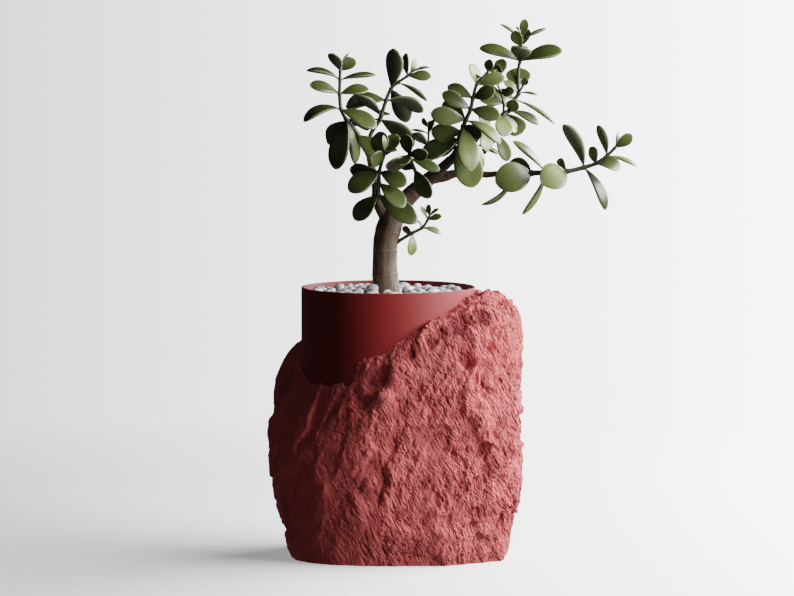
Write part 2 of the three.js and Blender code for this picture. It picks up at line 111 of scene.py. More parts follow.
# Soft lumps on it: compass angle, tilt, height, spread in radians.
STAND_LUMPS = {
    "right brow": (0, 33, 2, 0.16),
    "right cheek": (0, -17, 4, 0.16),
    "left cheek": (180, 20, 4, 0.14),
    "left belly": (180, -14, 5, 0.2),
}
STAND_WAVES = ((74, 5), (33, 3))  # size, height
# Broad flats hewn into it: compass angle, tilt, distance.
HEWN_HARDNESS = 32.0
HEWN_FACES = {
    "dark slope": (-145, 25, 117),
    "dark cheek": (-122, 15, 115.5),
    "low left": (-110, -8, 131),
    "left toe": (-140, -10, 149),
    "left heel": (183, -16.5, 156),
    "broad front": (-80, 2, 116),
    "right toe": (-60, -9, 137),
    "right cheek": (0, 3, 149),
}
# And finer lumps and dents than the CAD model's: compass angle, tilt, height, spread in radians.
HEWN_LUMPS = {
    "crest": (-8, 54, 9, 0.13),
    "front toe": (-92, -54, 12, 0.3),
    "left hip": (180, -28, 5, 0.12),
    "left waist": (180, 9, -7, 0.08),
    "brow by the pot": (-117, 42, 6, 0.09),
    "front": (-102, -25, 5, 0.065),
    "ridge top": (-85, 35, 4, 0.06),
    "ridge": (-89, 29.5, 5, 0.06),
    "ridge foot": (-96, 20, 5, 0.06),
    "dip top": (-96, 32.5, -3.5, 0.05),
    "dip": (-103, 27, -4.5, 0.06),
    "dip foot": (-110, 18, -4, 0.07),
}
# Hollows in its skin along the pot's edge, with shade painted in them: compass angle, tilt, height, spread in
# radians.
STAND_HOLLOWS = {
    "by the crest": (-37, 46.5, -10, 0.036),
    "beside it": (-46, 47.5, -11, 0.034),
    "under the rim": (-54, 46, -8, 0.035),
    "under the edge": (-62, 45.5, -8, 0.034),
    "before the pot": (-69, 43.5, -7, 0.036),
    "on the slope": (-77, 41, -5, 0.035),
}
# Its rough skin. Chips and ridges are drawn out along the stone's grain, which runs up to the right.
GRAIN_WAY = (0.5, -0.2, 0.84)
RELIEF = {
    "chips": ((40, 1.5, 1, 0), (16, 2.4, 0.45, 40)),  # size, stretch, share of their height, seed
    "chip edges": 20,  # the more, the sharper
    "ridges": (10.5, 3.0, 3, 5.5),  # size, stretch, octaves, seed
    "patches": (28, 31),  # size and seed of the patches where ridges are high or low
    "patch shares": (0.35, 0.9, 1.6),  # of the ridges' height: least, middle, most
    "bend": (20, 5),  # size and height of the waves that bend it all
}
# It is smoothest on its dark cheek and roughest at the right: shares of its chips' and ridges' heights.
ROUGHNESS = {
    "from left to right": (-135, -100, 0, 100),
    "chips": (0.9, 0.4, 0.65, 1.1),
    "ridges": (0.9, 0.35, 0.75, 2.5),
}
RELIEF_SPAN = 0.012  # metres over which painted shade fades from the deepest dent to the proudest chip
POCKET = {"side gap": 0.5, "foot gap": 0.3}  # between the stand and the pot

PEBBLES = {
    "fill radius": 96.5,
    "grit depth": 12,  # below the rim
    "top depth": (2.5, 5.5),
    "first ring": 24,
    "ring spacing": 15,
    "spacing": 17,
    "wander": 1.5,
    "half length": (6, 9),
    "narrowing": (0.7, 0.95),
    "flatness": 0.72,
    "fuller": (1.1, 1.1, 1.3),  # than the CAD model's
    "seed": 11,
}
# Smaller stones between and under them.
FILLERS = {
    "ring": (18, 72),  # its inner radius and its width
    "golden angle": 2.39996,  # in radians: each is turned by it from the last, so that they spread evenly
    "half length": (4.2, 6.8),
    "narrowing": (0.65, 0.95),
    "flatness": 0.7,
    "top depth": (8.5, 12),
    "seed": 29,
}
# A larger grey one beside the trunk.
GREY_STONE = {"centre": (-18, -12, 307.5), "halves": (7.5, 7, 6), "turn": 0.4, "tone": 0.75}
# A stone's dents, as fineness and height on a ball of radius 1, and how round it is: 1 for a ball, less for
# flatter sides.
STONE = {"dents": ((0.9, 0.07), (2.3, 0.02)), "roundness": 0.88}

# The wood: each limb is a row of (x, y, z, radius).
LIMBS = {
    "trunk": (
        (-3, 0, 262, 13), (-2.4, 0, 290, 16.2), (-2.4, 0, 305, 16), (-3.6, 0, 322, 14.9), (-4, 0, 341, 14),
        (-3, 0, 360, 14.3), (0.5, 0, 376, 14.8), (9, 0, 396, 13), (22, -1, 411, 10), (36, -3, 424, 9.2),
        (49, -4, 435, 8), (64, -8, 448, 5.9), (76, -11, 460, 5.2), (81, -13, 470, 4.3),
    ),
    "arm": (
        (40, -1, 428, 4), (52, 0, 433, 6), (65, 1, 435.5, 5.8), (77, 1, 439, 4.8), (94, 0, 439, 4.2),
        (112, -3, 438, 3.7), (125, -6, 439, 3.3),
    ),
    "inner": (
        (62, -7, 446, 3), (73, -3, 455, 4.2), (94, 11, 459, 3.8), (109, 20, 463, 3.4), (116, 22, 469, 3),
    ),
    "left": (
        (3, 0, 384, 5), (-4, -1, 392, 7.6), (-9, -3, 400, 6.8), (-12.5, -3, 410, 5.8), (-14, -1, 423, 5),
        (-17.5, 1, 441, 4.2), (-22, 4, 457, 3.6),
    ),
}
# Where old leaf scars ring each limb, as distances along it.
SCARS = {
    "trunk": (29, 61, 89, 111, 128, 150, 166, 186, 204, 222),
    "arm": (14, 30, 44, 60, 75, 86),
    "inner": (12, 30, 47, 60),
    "left": (22, 36, 50, 66),
}
BARK = {
    "voxel": 0.8,
    "smoothings": 8,
    "scar width": 0.8,
    "scar waves": (0.7, 0.5),  # how far two waves shift a scar along its limb
    "turns": 2.2,  # how many features a streak's noise has round a limb, by the radian
    "streak length": 20,
    "streaks": ((2, 2, 1), (6, 6, 1.6)),  # how much finer two layers of streaks are, across and along
    "streak share": 0.7,
    "lumps": (13, 0.5),  # size, height
}


class Stem(NamedTuple):
    """A green stem: its radius at the foot and at the tip, how pale its leaves are, and its joints.

    A joint is (place, leaves), and each leaf is a row of what Leaf holds. Paleness runs from -1 for deep
    green to 1 for pale green. It is partly the leaves' own colour and partly painted light and shade.
    """

    foot: float
    tip: float
    paleness: float
    joints: list


class Leaf(NamedTuple):
    """A leaf. Lean is clockwise from straight up as seen from the front, and toward is how far it points to
    the front. Turn is how far its upper face looks from the front to the sunny side, arch bends its tip down,
    and paler is how much paler it is than the others on its stem.
    """

    lean: float
    toward: float
    length: float
    width: float
    turn: float
    arch: float
    paler: float = 0


# A leaf's seventh value, paler, is partly its own colour and partly painted light and shade, like its stem's
# paleness.
SHOOTS = {
    "shoot_left": [
        Stem(2.7, 1.2, -0.3, [
            ((-22, 4, 457), []),
            ((-25.5, 3, 465), []),
            ((-34.7, -4, 484), [(134, 32, 41, 23, 35, 15, 0.5)]),
            ((-46.8, -11, 500.5), [(-139, -25, 38, 22, -30, 30, 0.5), (-167, 14, 58, 23, -25, 20, -0.4)]),
            ((-48.6, -13, 503), [(168, -22, 58, 18, 50, 15, 1.4), (119, -20, 31, 15, 110, 30, -0.3)]),
            ((-53.7, -17, 513.5), [(-108, 12, 45, 15, 55, 90, -0.2), (118, 20, 47, 20, 40, 40, 0.5)]),
            ((-55.4, -20, 531), [(-73, 30, 40, 17, 55, 45, 0.2), (80, -20, 35, 16, 45, 35, 0.4)]),
            ((-55, -21, 547), [(-74, 5, 39, 14, 75, 60), (82, 0, 41, 12, 70, 30, 0.3)]),
            ((-54.6, -21, 557.5), [(-29, 30, 26, 16, 140, 15, -0.3), (52, -28, 23, 15, -20, 10, 0.1)]),
            ((-53.4, -20, 565), [(-38, -25, 17, 8, 75, 10), (34, 15, 16, 7, -90, 20, 0.5)]),
        ]),
    ],
    "shoot_rear": [
        Stem(2.6, 1.1, -0.5, [
            ((-20, 8, 452), []),
            ((-22, 17, 464), []),
            ((-20.5, 24, 482), []),
            ((-9.5, 29, 500), [(128, 0, 49, 22, 150, 50, 0.2), (-105, -35, 40, 20, 110, 40)]),
            ((-8.2, 29, 504), [(-50, 22, 39, 20, 120, 30), (40, -82, 28, 16, -20, 30)]),
            ((-2.5, 31, 522), [(-99, -15, 48, 24, 50, 60, 1.2), (108, -10, 45, 20, 130, 65, 0.1)]),
            ((3.3, 32, 535.5), [(4, 14, 47, 22, 150, 12, -0.4), (155, -20, 46, 21, 160, 15)]),
            ((10.7, 32, 542), [(122, -8, 40, 13, 100, 45, 0.4), (-14, -42, 34, 16, 70, 20)]),
            ((22.2, 31, 550), [(-3, 4, 26, 12, -50, 15, -0.3), (92, 10, 27, 13, 35, 15, 0.8)]),
            ((25.6, 31, 553), [(72, 5, 23, 9, 95, 50, 0.2), (18, -22, 18, 8, 35, 10, 1.4)]),
        ]),
    ],
    "shoot_front": [
        Stem(2.6, 1.3, -0.3, [
            ((-12.5, -3, 408), []),
            ((-12, -17, 416), [(-138, 12, 39, 21, -25, 20, -0.4), (125, 20, 57, 23, 15, 25, 0.2)]),
            ((-10.5, -31, 430.5), [(134, 26, 43, 20, 35, 25, 0.5)]),
            ((-10, -41, 443.5), [
                (-122, 17, 42, 23, -25, 20, -0.1), (-87, -14, 34, 18, -20, 20, -0.4),
                (114, 12, 34, 19, 10, 20, 0.4),
            ]),
            ((-5.4, -50, 460.5), [
                (-94, 60, 28, 18, -20, 30, 0.1), (-12, -26, 31, 21, -15, 20, -0.1),
                (32, -12, 30, 18, -25, 20, 0.1),
            ]),
            ((-4, -53, 466), [(-5, 6, 19, 7, 40, 10, 1.2), (80, 40, 18, 8, 80, 20, 0.3)]),
        ]),
    ],
    "shoot_centre": [
        Stem(2.2, 1.2, -0.4, [
            ((34, -3, 422), []),
            ((32.5, -20, 436), []),
            ((30, -32, 446), [(151, 16, 38, 19, -20, 20, 0.2), (-60, -45, 26, 15, -20, 20)]),
            ((25.6, -46, 458.5), [(-104, 34, 35, 19, -35, 20, -0.7), (112, 5, 35, 12, 20, 10, 0.4)]),
            ((23.8, -52, 463.5), [
                (-8, 16, 24, 16, -30, 10, -0.2), (-140, 52, 23, 15, -40, 20, -0.6),
                (84, 30, 24, 15, -20, 20, -0.4),
            ]),
        ]),
    ],
    "twig_low": [
        Stem(2.1, 0.9, 0.25, [
            ((6, 0, 356), []),
            ((13, -3, 362), []),
            ((27.4, -6, 371), [(-70, -40, 15, 11, 140, 20, -1), (-177, 4, 25, 12, 30, 10, 1.4)]),
            ((38.9, -7, 377.3), [(-34, -30, 13, 7, 80, 10), (108, 5, 22, 10, 60, 50, 0.4)]),
            ((45.3, -8, 386.5), [(-28, 8, 17, 8, 60, 5, 0.6), (75, 8, 16, 9, 40, 10, -0.2)]),
            ((47.4, -8, 391), [(-4, 5, 13, 7, -30, 5, -0.8), (52, 0, 13, 6, -60, 5, -0.3)]),
        ]),
    ],
    "twig_small": [
        Stem(1.6, 0.9, -0.4, [
            ((55, -6, 440), []),
            ((47.5, 8, 455), []),
            ((45.8, 11, 470.5), [(-51, 12, 23, 13, 145, 10), (70, -50, 20, 12, 80, 20)]),
            ((46.5, 11, 484.5), [(-78, -5, 20, 8, 90, 30, 0.2), (23, 5, 17, 10, -60, 10, -0.2)]),
            ((46.4, 11, 491), [(-30, 5, 13, 8, -50, 5, -0.3), (12, -30, 9, 5, -25, 5, 0.2)]),
        ]),
    ],
    "crown_left": [
        Stem(2.9, 1.1, 0.14, [
            ((81, -13, 469), []),
            ((82, -18, 480.5), [
                (-117, 14, 50, 25, -35, 15, -0.9), (165, 12, 58, 31, 5, 10, 0.4),
                (-121, -22, 40, 17, 40, 10, 0.9),
            ]),
            ((84, -22, 488), [(-88, 12, 35, 22, -25, 20, -0.3), (151, -14, 50, 17, 50, 15, 0.9)]),
            ((85.8, -25, 494.5), [(171, 24, 55, 24, 15, 12, 0.5), (118, 20, 24, 18, -30, 15, -0.5)]),
            ((88.4, -28, 501.5), [
                (-78, 12, 41, 20, 0, 12, 0.2), (-50, -26, 35, 19, 10, 20), (124, 8, 47, 15, 50, 60, 0.6),
            ]),
            ((93.8, -31, 514), [(-60, 8, 37, 16, 15, 35, -0.1), (104, 20, 36, 17, 20, 35, 0.2)]),
            ((96.4, -34, 526.5), [(-64, -14, 32, 15, 25, 35), (67, 20, 28, 16, 20, 20)]),
            ((100.7, -35, 542), [(-14, -14, 25, 17, 50, 10, 0.9), (74, -12, 33, 16, 25, 20, 0.1)]),
            ((106.3, -35, 549), [(-60, -30, 12, 7, 95, 10, -0.6)]),
            ((113.5, -35, 557), [(9, 8, 14, 11, -20, 10, -0.2), (80, -20, 10, 7, 65, 10, -0.2)]),
        ]),
    ],
    "crown_inner": [
        Stem(2.2, 1.2, 0.5, [
            ((94, 11, 459), []),
            ((99, 17, 472), [(112, 8, 30, 16, 85, 20), (-70, -45, 28, 16, 100, 20)]),
            ((109, 14, 487), [(170, 24, 25, 17, 35, 15, 0.4), (0, -35, 30, 18, 40, 20)]),
        ]),
    ],
    "crown_right": [
        Stem(2.7, 1.1, 0.3, [
            ((115.5, 22, 468), []),
            ((125.2, 31, 483), [(158, 10, 33, 15, 20, 15, 0.1), (150, -22, 34, 10, 60, 10, 0.8)]),
            ((132.6, 36, 505), [(-178, 38, 30, 21, 25, 15, 0.5), (143, -20, 26, 17, 50, 15, 0.9)]),
            ((135, 38, 507), [(141, -38, 39, 22, 0, 20)]),
            ((140, 39, 510), [
                (29, 50, 21, 15, 0, 20, 0.1), (115, 4, 37, 14, 60, 40, 0.1), (-41, -14, 30, 14, 55, 10, 0.9),
            ]),
            ((145.8, 39, 522.5), [(121, 8, 54, 11, 80, 30, 0.3), (-62, 10, 21, 12, 40, 30)]),
            ((150.5, 39, 530), [(-52, 8, 21, 13, 50, 40, 0.6), (95, 4, 21, 10, 90, 45)]),
            ((150.2, 42, 538), [(0, -24, 22, 27, 0, 15, 0.1)]),
            ((150.2, 42, 558), []),
            ((152, 42, 566.5), [
                (-72, 4, 49, 17, 50, 52, -0.2), (76, 4, 50, 20, 50, 45, -0.3), (0, 64, 37, 23, 170, 25, -0.4),
                (0, -60, 34, 20, 10, 30, -0.2),
            ]),
            ((153.6, 42, 584), [(-29, 12, 20, 13, -10, 10, -0.2), (20, -22, 22, 15, -30, 10, -0.3)]),
            ((154.2, 42, 590), [(-52, 4, 31, 8, 85, 30), (63, 2, 31, 10, -85, 30, -0.3)]),
            ((155, 42, 595), [(7, 6, 20, 10, 0, 10), (-32, -20, 14, 8, 70, 10, -0.5)]),
        ]),
        Stem(1.5, 1, 0.2, [
            ((132.6, 36, 505), []),
            ((133, 34, 518), [(-80, 10, 28, 13, 40, 15), (-102, -25, 24, 10, 70, 10)]),
            ((129.5, 31, 531), [(-78, -22, 24, 14, 60, 20), (88, 42, 20, 12, 30, 15)]),
            ((123.5, 28, 546.5), [
                (12, 16, 17, 13, -20, 10, -0.3), (22, -22, 26, 14, -10, 15, -0.1), (108, -6, 13, 9, 70, 10),
            ]),
        ]),
        Stem(1.3, 0.9, -0.3, [
            ((150.5, 39, 530), []),
            ((155, 31, 538.5), [(25, 12, 10, 8, 5, 5), (-30, 5, 9, 6, 45, 5)]),
        ]),
    ],
    "shoot_arm": [
        Stem(3.3, 1.3, 0.18, [
            ((124, -6, 439), []),
            ((143.6, -10, 439.5), [(-17, 4, 10, 10, 55, 15), (-134, 4, 50, 11, 70, 75, 0.2)]),
            ((164.3, -13, 440.3), [(-104, 12, 43, 33, 15, 55, 0.3), (-70, -35, 33, 22, 170, 50, -1.1)]),
            ((180, -14, 441), [(-46, 2, 51, 14, 65, 35, 0.1), (-151, 2, 54, 13, 65, 40, 0.5)]),
            ((204, -14, 442.3), [(-112, 34, 38, 31, 18, 45, 0.6), (-45, -50, 22, 16, 125, 30, 0.1)]),
            ((224, -11, 446.7), [(-26, 4, 54, 18, 140, 65, 0.1), (153, 2, 54, 14, 40, 60, -0.8)]),
            ((238.4, -10, 451.6), [(107, 20, 28, 22, 55, 100, -0.2), (-23, -42, 24, 14, 140, 20, 0.3)]),
            ((250.5, -8, 460), [(-17, 2, 36, 13, 135, 35, -0.1), (109, 0, 36, 9, 70, 35, 0.5)]),
            ((259.7, -8, 469.2), [(50, 8, 24, 14, 25, 15, 0.1), (10, -4, 18, 8, 65, 10, 0.7)]),
        ]),
    ],
}

# ---------- repeatable noise ----------

WORD = 0xFFFFFFFF  # keeps whole numbers to 32 bits, as on the CAD model
SLOPES = np.random.default_rng(5).normal(size=(256, 3))
SLOPES /= np.linalg.norm(SLOPES, axis=1)[:, None]
NEIGHBOURS = [(i, j, k) for i in (-1, 0, 1) for j in (-1, 0, 1) for k in (-1, 0, 1)]
CORNERS = [(i, j, k) for i in (0, 1) for j in (0, 1) for k in (0, 1)]


def cell_value(x, y, z):
    """A repeatable value from 0 to 1 for each corner of the grid of whole numbers, as on the CAD model."""
    word = ((x * 73856093) ^ (y * 19349663) ^ (z * 83492791)) & WORD
    word = ((word ^ (word >> 13)) * 1274126177) & WORD
    return (word ^ (word >> 16)) / 2**32


def grid_noise(points, corner_height):
    """Blends the eight corners of each point's grid cell."""
    base = np.floor(points).astype(np.int64)
    part = points - base
    ease = part * part * (3 - 2 * part)
    total = 0
    for offset in CORNERS:
        share = np.prod(np.where(offset, ease, 1 - ease), axis=1)
        total = total + share * corner_height(base + offset, part - offset)
    return total


def soft_noise(points):
    """Blobs from -1 to 1 with features about one unit across, as on the CAD model."""
    return 2 * grid_noise(points, lambda cell, away: cell_value(*cell.T)) - 1


def slope_of(cell):
    """A repeatable random slope for each corner of the grid."""
    return SLOPES[(cell_value(*cell.T) * len(SLOPES)).astype(int)]


def lively_noise(points):
    """Hills and hollows, about -1 to 1, with features about one unit across."""
    return 1.5 * grid_noise(points, lambda cell, away: np.einsum("ij,ij->i", slope_of(cell), away))


def chipped_noise(points, sharpness):
    """Flat chips that lean at random and meet in edges."""
    base = np.floor(points).astype(np.int64)
    height, weight = 0, 0
    for offset in NEIGHBOURS:
        cell = base + offset
        middle = np.stack([cell_value(*(cell + shift).T) for shift in (11, 23, 37)], axis=1)
        away = points - cell - middle
        share = np.exp(-sharpness * np.einsum("ij,ij->i", away, away))
        height = height + share * np.einsum("ij,ij->i", slope_of(cell + 51), away)
        weight = weight + share
    return height / weight


def drawer(seed):
    """Repeatable random draws from a range, in the CAD model's order."""
    state = seed

    def draw(low, high):
        nonlocal state
        state = (state * 1664525 + 1013904223) & WORD
        return low + (high - low) * state / 2**32

    return draw


# ---------- meshes ----------


def unit(vectors):
    return vectors / np.linalg.norm(vectors, axis=-1, keepdims=True)


def skin_faces(rings, around):
    """The faces of a closed skin, whose points are its first tip, its rings and its last tip."""
    step = np.arange(around)
    after = (step + 1) % around
    starts = 1 + around * np.arange(rings - 1)[:, None]
    corners = [starts + step, starts + after, starts + around + after, starts + around + step]
    quads = np.stack(corners, axis=-1)
    last = 1 + around * (rings - 1)
    first_fan = [(0, 1 + b, 1 + a) for a, b in zip(step, after)]
    last_fan = [(last + around, last + a, last + b) for a, b in zip(step, after)]
    return first_fan + [tuple(q) for q in quads.reshape(-1, 4).tolist()] + last_fan


def looks_out(points, faces):
    """True if the faces of a closed skin look out of it."""
    a, b, c = (points[[face[i] for face in faces]] for i in range(3))
    return np.einsum("ij,ij->i", a - points.mean(0), np.cross(b - a, c - a)).sum() > 0


class Gathering:
    """Points, faces and marks of one mesh, gathered skin by skin. A mark is a number kept at each point."""

    def __init__(self, *marks):
        self.points, self.faces, self.slots, self.count = [], [], [], 0
        self.marks = {name: [] for name in marks}

    def add(self, points, faces, slot=0, **marks):
        turn = 1 if looks_out(points, faces) else -1
        self.points.append(points)
        self.faces.extend(tuple(self.count + int(i) for i in face[::turn]) for face in faces)
        self.slots.extend([slot] * len(faces))
        for name, rows in self.marks.items():
            rows.append(np.broadcast_to(marks.get(name, 0.0), len(points)))
        self.count += len(points)

    def mesh(self, name):
        mesh = bpy.data.meshes.new(name)
        mesh.from_pydata(np.concatenate(self.points).tolist(), [], self.faces)
        mesh.polygons.foreach_set("material_index", self.slots)
        for mark, rows in self.marks.items():
            keep_mark(mesh, mark, np.concatenate(rows))
        return mesh


def keep_mark(mesh, name, values):
    layer = mesh.attributes.new(name, "FLOAT", "POINT")
    layer.data.foreach_set("value", np.asarray(values, np.float32))


def mesh_points(mesh):
    points = np.empty(3 * len(mesh.vertices), np.float32)
    mesh.vertices.foreach_get("co", points)
    return points.reshape(-1, 3).astype(float)


def mesh_normals(mesh):
    normals = np.empty(3 * len(mesh.vertices), np.float32)
    mesh.vertex_normals.foreach_get("vector", normals)
    return normals.reshape(-1, 3).astype(float)


def move_points(mesh, points):
    mesh.vertices.foreach_set("co", points.astype(np.float32).ravel())
    mesh.update()


def new_object(name, mesh):
    made = bpy.data.objects.new(name, mesh)
    bpy.context.scene.collection.objects.link(made)
    return made


def apply_modifier(made, kind, **settings):
    """Adds a modifier to an object and keeps its result as the mesh."""
    modifier = made.modifiers.new("work", kind)
    for key, value in settings.items():
        setattr(modifier, key, value)
    evaluated = made.evaluated_get(bpy.context.evaluated_depsgraph_get())
    result = bpy.data.meshes.new_from_object(evaluated)
    made.modifiers.clear()
    old, made.data = made.data, result
    result.name = old.name
    bpy.data.meshes.remove(old)
    if not len(result.polygons):
        raise RuntimeError(f"{made.name}: the {kind} step left nothing")


def cut_away(made, tool):
    """Cuts a closed tool mesh out of an object."""
    cutter = new_object("cutter", tool)
    apply_modifier(made, "BOOLEAN", operation="DIFFERENCE", solver="MANIFOLD", object=cutter)
    bpy.data.objects.remove(cutter)
    bpy.data.meshes.remove(tool)


def dress(made, node, materials, crease=180):
    """Gives a piece its materials and smooth faces, and lets it stand for a CAD node."""
    made.data.materials.clear()
    for material in materials:
        made.data.materials.append(material)
    made.data.shade_smooth()
    if crease < 180:
        made.data.set_sharp_from_angle(angle=math.radians(crease))
    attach(made, BODY)
    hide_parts(node)


def turned_skin(profile, around):
    """The closed skin of a profile of (radius, height) turned about the vertical axis, from tip to tip."""
    angles = 2 * np.pi * np.arange(around) / around
    circle = np.stack([np.cos(angles), np.sin(angles)], axis=1)
    rings = [np.column_stack([radius * circle, np.full(around, height)]) for radius, height in profile[1:-1]]
    tips = [np.array([[0, 0, height]]) for _, height in (profile[0], profile[-1])]
    return np.concatenate([tips[0], *rings, tips[1]]), skin_faces(len(rings), around)


def rounded(corner, before, after, radius, steps=5):
    """Points of a small arc that rounds a profile's corner."""
    corner, before, after = (np.array(p, float) for p in (corner, before, after))
    start = corner + unit(before - corner) * radius
    end = corner + unit(after - corner) * radius
    middle = start + end - corner
    arc = []
    for share in np.linspace(0, 1, steps):
        angle = share * math.pi / 2
        arc.append(tuple(middle + (start - middle) * math.cos(angle) + (end - middle) * math.sin(angle)))
    return arc


# ---------- paths and rods ----------


def smooth_path(points, steps):
    """Points on a smooth curve through the given ones, and how many given points lie before each."""
    gaps = np.linalg.norm(np.diff(points, axis=0), axis=1)[:, None] ** 0.5
    slopes = np.diff(points, axis=0) / gaps
    inner = (gaps[:-1] * slopes[1:] + gaps[1:] * slopes[:-1]) / (gaps[:-1] + gaps[1:])
    slopes = np.concatenate([slopes[:1], inner, slopes[-1:]])
    places = np.linspace(0, len(points) - 1, steps * (len(points) - 1) + 1)
    low = np.minimum(places.astype(int), len(points) - 2)
    t = (places - low)[:, None]
    ease = t * t * (3 - 2 * t)
    rise = gaps[low] * (t * (1 - t) ** 2 * slopes[low] - t * t * (1 - t) * slopes[low + 1])
    return (1 - ease) * points[low] + ease * points[low + 1] + rise, places


def rod_frame(path):
    """Unit vectors along a path, across it and out of it."""
    along = unit(np.gradient(path, axis=0))
    across = unit(np.cross(FRONT, along))
    return along, across, np.cross(along, across)


def rod_skin(path, radii, sides):
    """The closed skin of a round rod with rounded ends, and the ring of each point."""
    _, across, deep = rod_frame(path)
    angles = 2 * np.pi * np.arange(sides) / sides
    spokes = np.cos(angles)[:, None, None] * across + np.sin(angles)[:, None, None] * deep
    rings = path[:, None] + radii[:, None, None] * spokes.transpose(1, 0, 2)
    overrun = 0.6  # how far the round ends reach past the path, as a share of the radius
    first = path[0] - overrun * radii[0] * unit(path[1] - path[0])
    last = path[-1] + overrun * radii[-1] * unit(path[-1] - path[-2])
    points = np.concatenate([first[None], rings.reshape(-1, 3), last[None]])
    ring = np.concatenate([[0], np.repeat(np.arange(len(path)), sides), [len(path) - 1]])
    return points, skin_faces(len(path), sides), ring


# ---------- node graphs ----------


class Graph:
    """Adds nodes to a node tree and links them."""

    def __init__(self, tree):
        self.tree = tree

    def add(self, kind, inputs=None, **settings):
        node = self.tree.nodes.new(kind)
        for key, value in settings.items():
            setattr(node, key, value)
        for key, value in (inputs or {}).items():
            self.feed(node.inputs[key], value)
        return node

    def feed(self, socket, value):
        if isinstance(value, bpy.types.NodeSocket):
            self.tree.links.new(value, socket)
        else:
            socket.default_value = value

    def place(self):
        return self.add("ShaderNodeTexCoord").outputs["Object"]

    def sideways(self):
        """The place from left to right."""
        return self.add("ShaderNodeSeparateXYZ", {"Vector": self.place()}).outputs["X"]

    def vector_maths(self, operation, inputs):
        return self.add("ShaderNodeVectorMath", inputs, operation=operation).outputs

    def bent(self, amount, scale):
        """The place, shifted by a noise, so that what is drawn with it looks less regular."""
        noise = self.add("ShaderNodeTexNoise", {"Vector": self.place(), "Scale": scale, "Detail": 2.0})
        centred = self.vector_maths("SUBTRACT", {0: noise.outputs["Color"], 1: (0.5, 0.5, 0.5)})[0]
        shift = self.vector_maths("SCALE", {0: centred, "Scale": amount})[0]
        return self.vector_maths("ADD", {0: self.place(), 1: shift})[0]

    def drawn_out(self, vector, lean, length):
        """A place by which a texture is drawn out along a line that leans to the right."""
        inputs = {"Vector": vector, "Rotation": (0, math.radians(lean), 0), "Scale": (1, 1, length)}
        return self.add("ShaderNodeMapping", inputs, vector_type="TEXTURE").outputs["Vector"]

    def creases(self, vector, scale):
        """Sharp crests of height 1 that wind between hollows."""
        middle = self.maths("SUBTRACT", self.noise(vector, scale, 3.0, 0.6), 0.5)
        return self.maths("SUBTRACT", 1.0, self.maths("MULTIPLY", self.maths("ABSOLUTE", middle), 5.0))

    def mark(self, name):
        """The number that the mesh keeps under a name at each point."""
        return self.add("ShaderNodeAttribute", attribute_name=name).outputs["Fac"]

    def noise(self, vector, scale, detail=3.0, rough=0.5):
        inputs = {"Vector": vector, "Scale": scale, "Detail": detail, "Roughness": rough}
        return self.add("ShaderNodeTexNoise", inputs).outputs["Fac"]

    def spread(self, value, low, high, to_low=0.0, to_high=1.0):
        """A value's range from low to high, mapped evenly to another range."""
        inputs = {"Value": value, "From Min": low, "From Max": high, "To Min": to_low, "To Max": to_high}
        return self.add("ShaderNodeMapRange", inputs).outputs["Result"]

    def maths(self, operation, first, second=0.0):
        return self.add("ShaderNodeMath", {0: first, 1: second}, operation=operation).outputs[0]

    def mix(self, share, first, second, blend="MIX"):
        inputs = {"Factor": share, 6: first, 7: second}
        return self.add("ShaderNodeMix", inputs, data_type="RGBA", blend_type=blend).outputs[2]

    def bump(self, height, strength, depth):
        inputs = {"Height": height, "Strength": strength, "Distance": depth}
        return self.add("ShaderNodeBump", inputs).outputs["Normal"]


def rgba(colour):
    return (*colour, 1.0)


def new_group(name, inputs, outputs):
    """An empty shader node group with named sockets, and its graph, inputs and output node."""
    tree = bpy.data.node_groups.new(name, "ShaderNodeTree")
    for direction, sockets in (("INPUT", inputs), ("OUTPUT", outputs)):
        for label, (kind, default) in sockets.items():
            socket = tree.interface.new_socket(name=label, in_out=direction, socket_type=f"NodeSocket{kind}")
            if direction == "INPUT":
                socket.default_value = default
    graph = Graph(tree)
    return tree, graph, graph.add("NodeGroupInput").outputs, graph.add("NodeGroupOutput").inputs


def grain_group():
    """Grain of two sizes, for bumps and for small changes of roughness."""
    name = "Surface Grain"
    if name in bpy.data.node_groups:
        return bpy.data.node_groups[name]
    inputs = {"Coarse Scale": ("Float", 300.0), "Fine Scale": ("Float", 1500.0), "Fine Share": ("Float", 0.4)}
    tree, graph, given, out = new_group(name, inputs, {"Height": ("Float", 0.0)})
    coarse = graph.noise(graph.place(), given["Coarse Scale"], 4.0, 0.6)
    fine = graph.noise(graph.place(), given["Fine Scale"], 3.0, 0.6)
    share = graph.maths("MULTIPLY", fine, given["Fine Share"])
    graph.feed(out["Height"], graph.maths("ADD", coarse, share))
    return tree


def drift_group():
    """Soft patches in which a colour drifts to another."""
    name = "Tone Drift"
    if name in bpy.data.node_groups:
        return bpy.data.node_groups[name]
    grey = (0.5, 0.5, 0.5, 1.0)
    inputs = {
        "Colour": ("Color", grey),
        "Drifts To": ("Color", grey),
        "Patch Scale": ("Float", 20.0),
        "Amount": ("Float", 0.5),
    }
    tree, graph, given, out = new_group(name, inputs, {"Colour": ("Color", grey), "Mask": ("Float", 0.0)})
    mask = graph.spread(graph.noise(graph.place(), given["Patch Scale"], 5.0, 0.6), 0.35, 0.68)
    share = graph.maths("MULTIPLY", mask, given["Amount"])
    graph.feed(out["Colour"], graph.mix(share, given["Colour"], given["Drifts To"]))
    graph.feed(out["Mask"], mask)
    return tree


def placed(graph, group, inputs):
    """Puts a node group in a graph and gives its outputs."""
    node = graph.add("ShaderNodeGroup", node_tree=group)
    for key, value in inputs.items():
        graph.feed(node.inputs[key], value)
    return node.outputs


def grain(graph, coarse, fine, share):
    inputs = {"Coarse Scale": coarse, "Fine Scale": fine, "Fine Share": share}
    return placed(graph, grain_group(), inputs)["Height"]


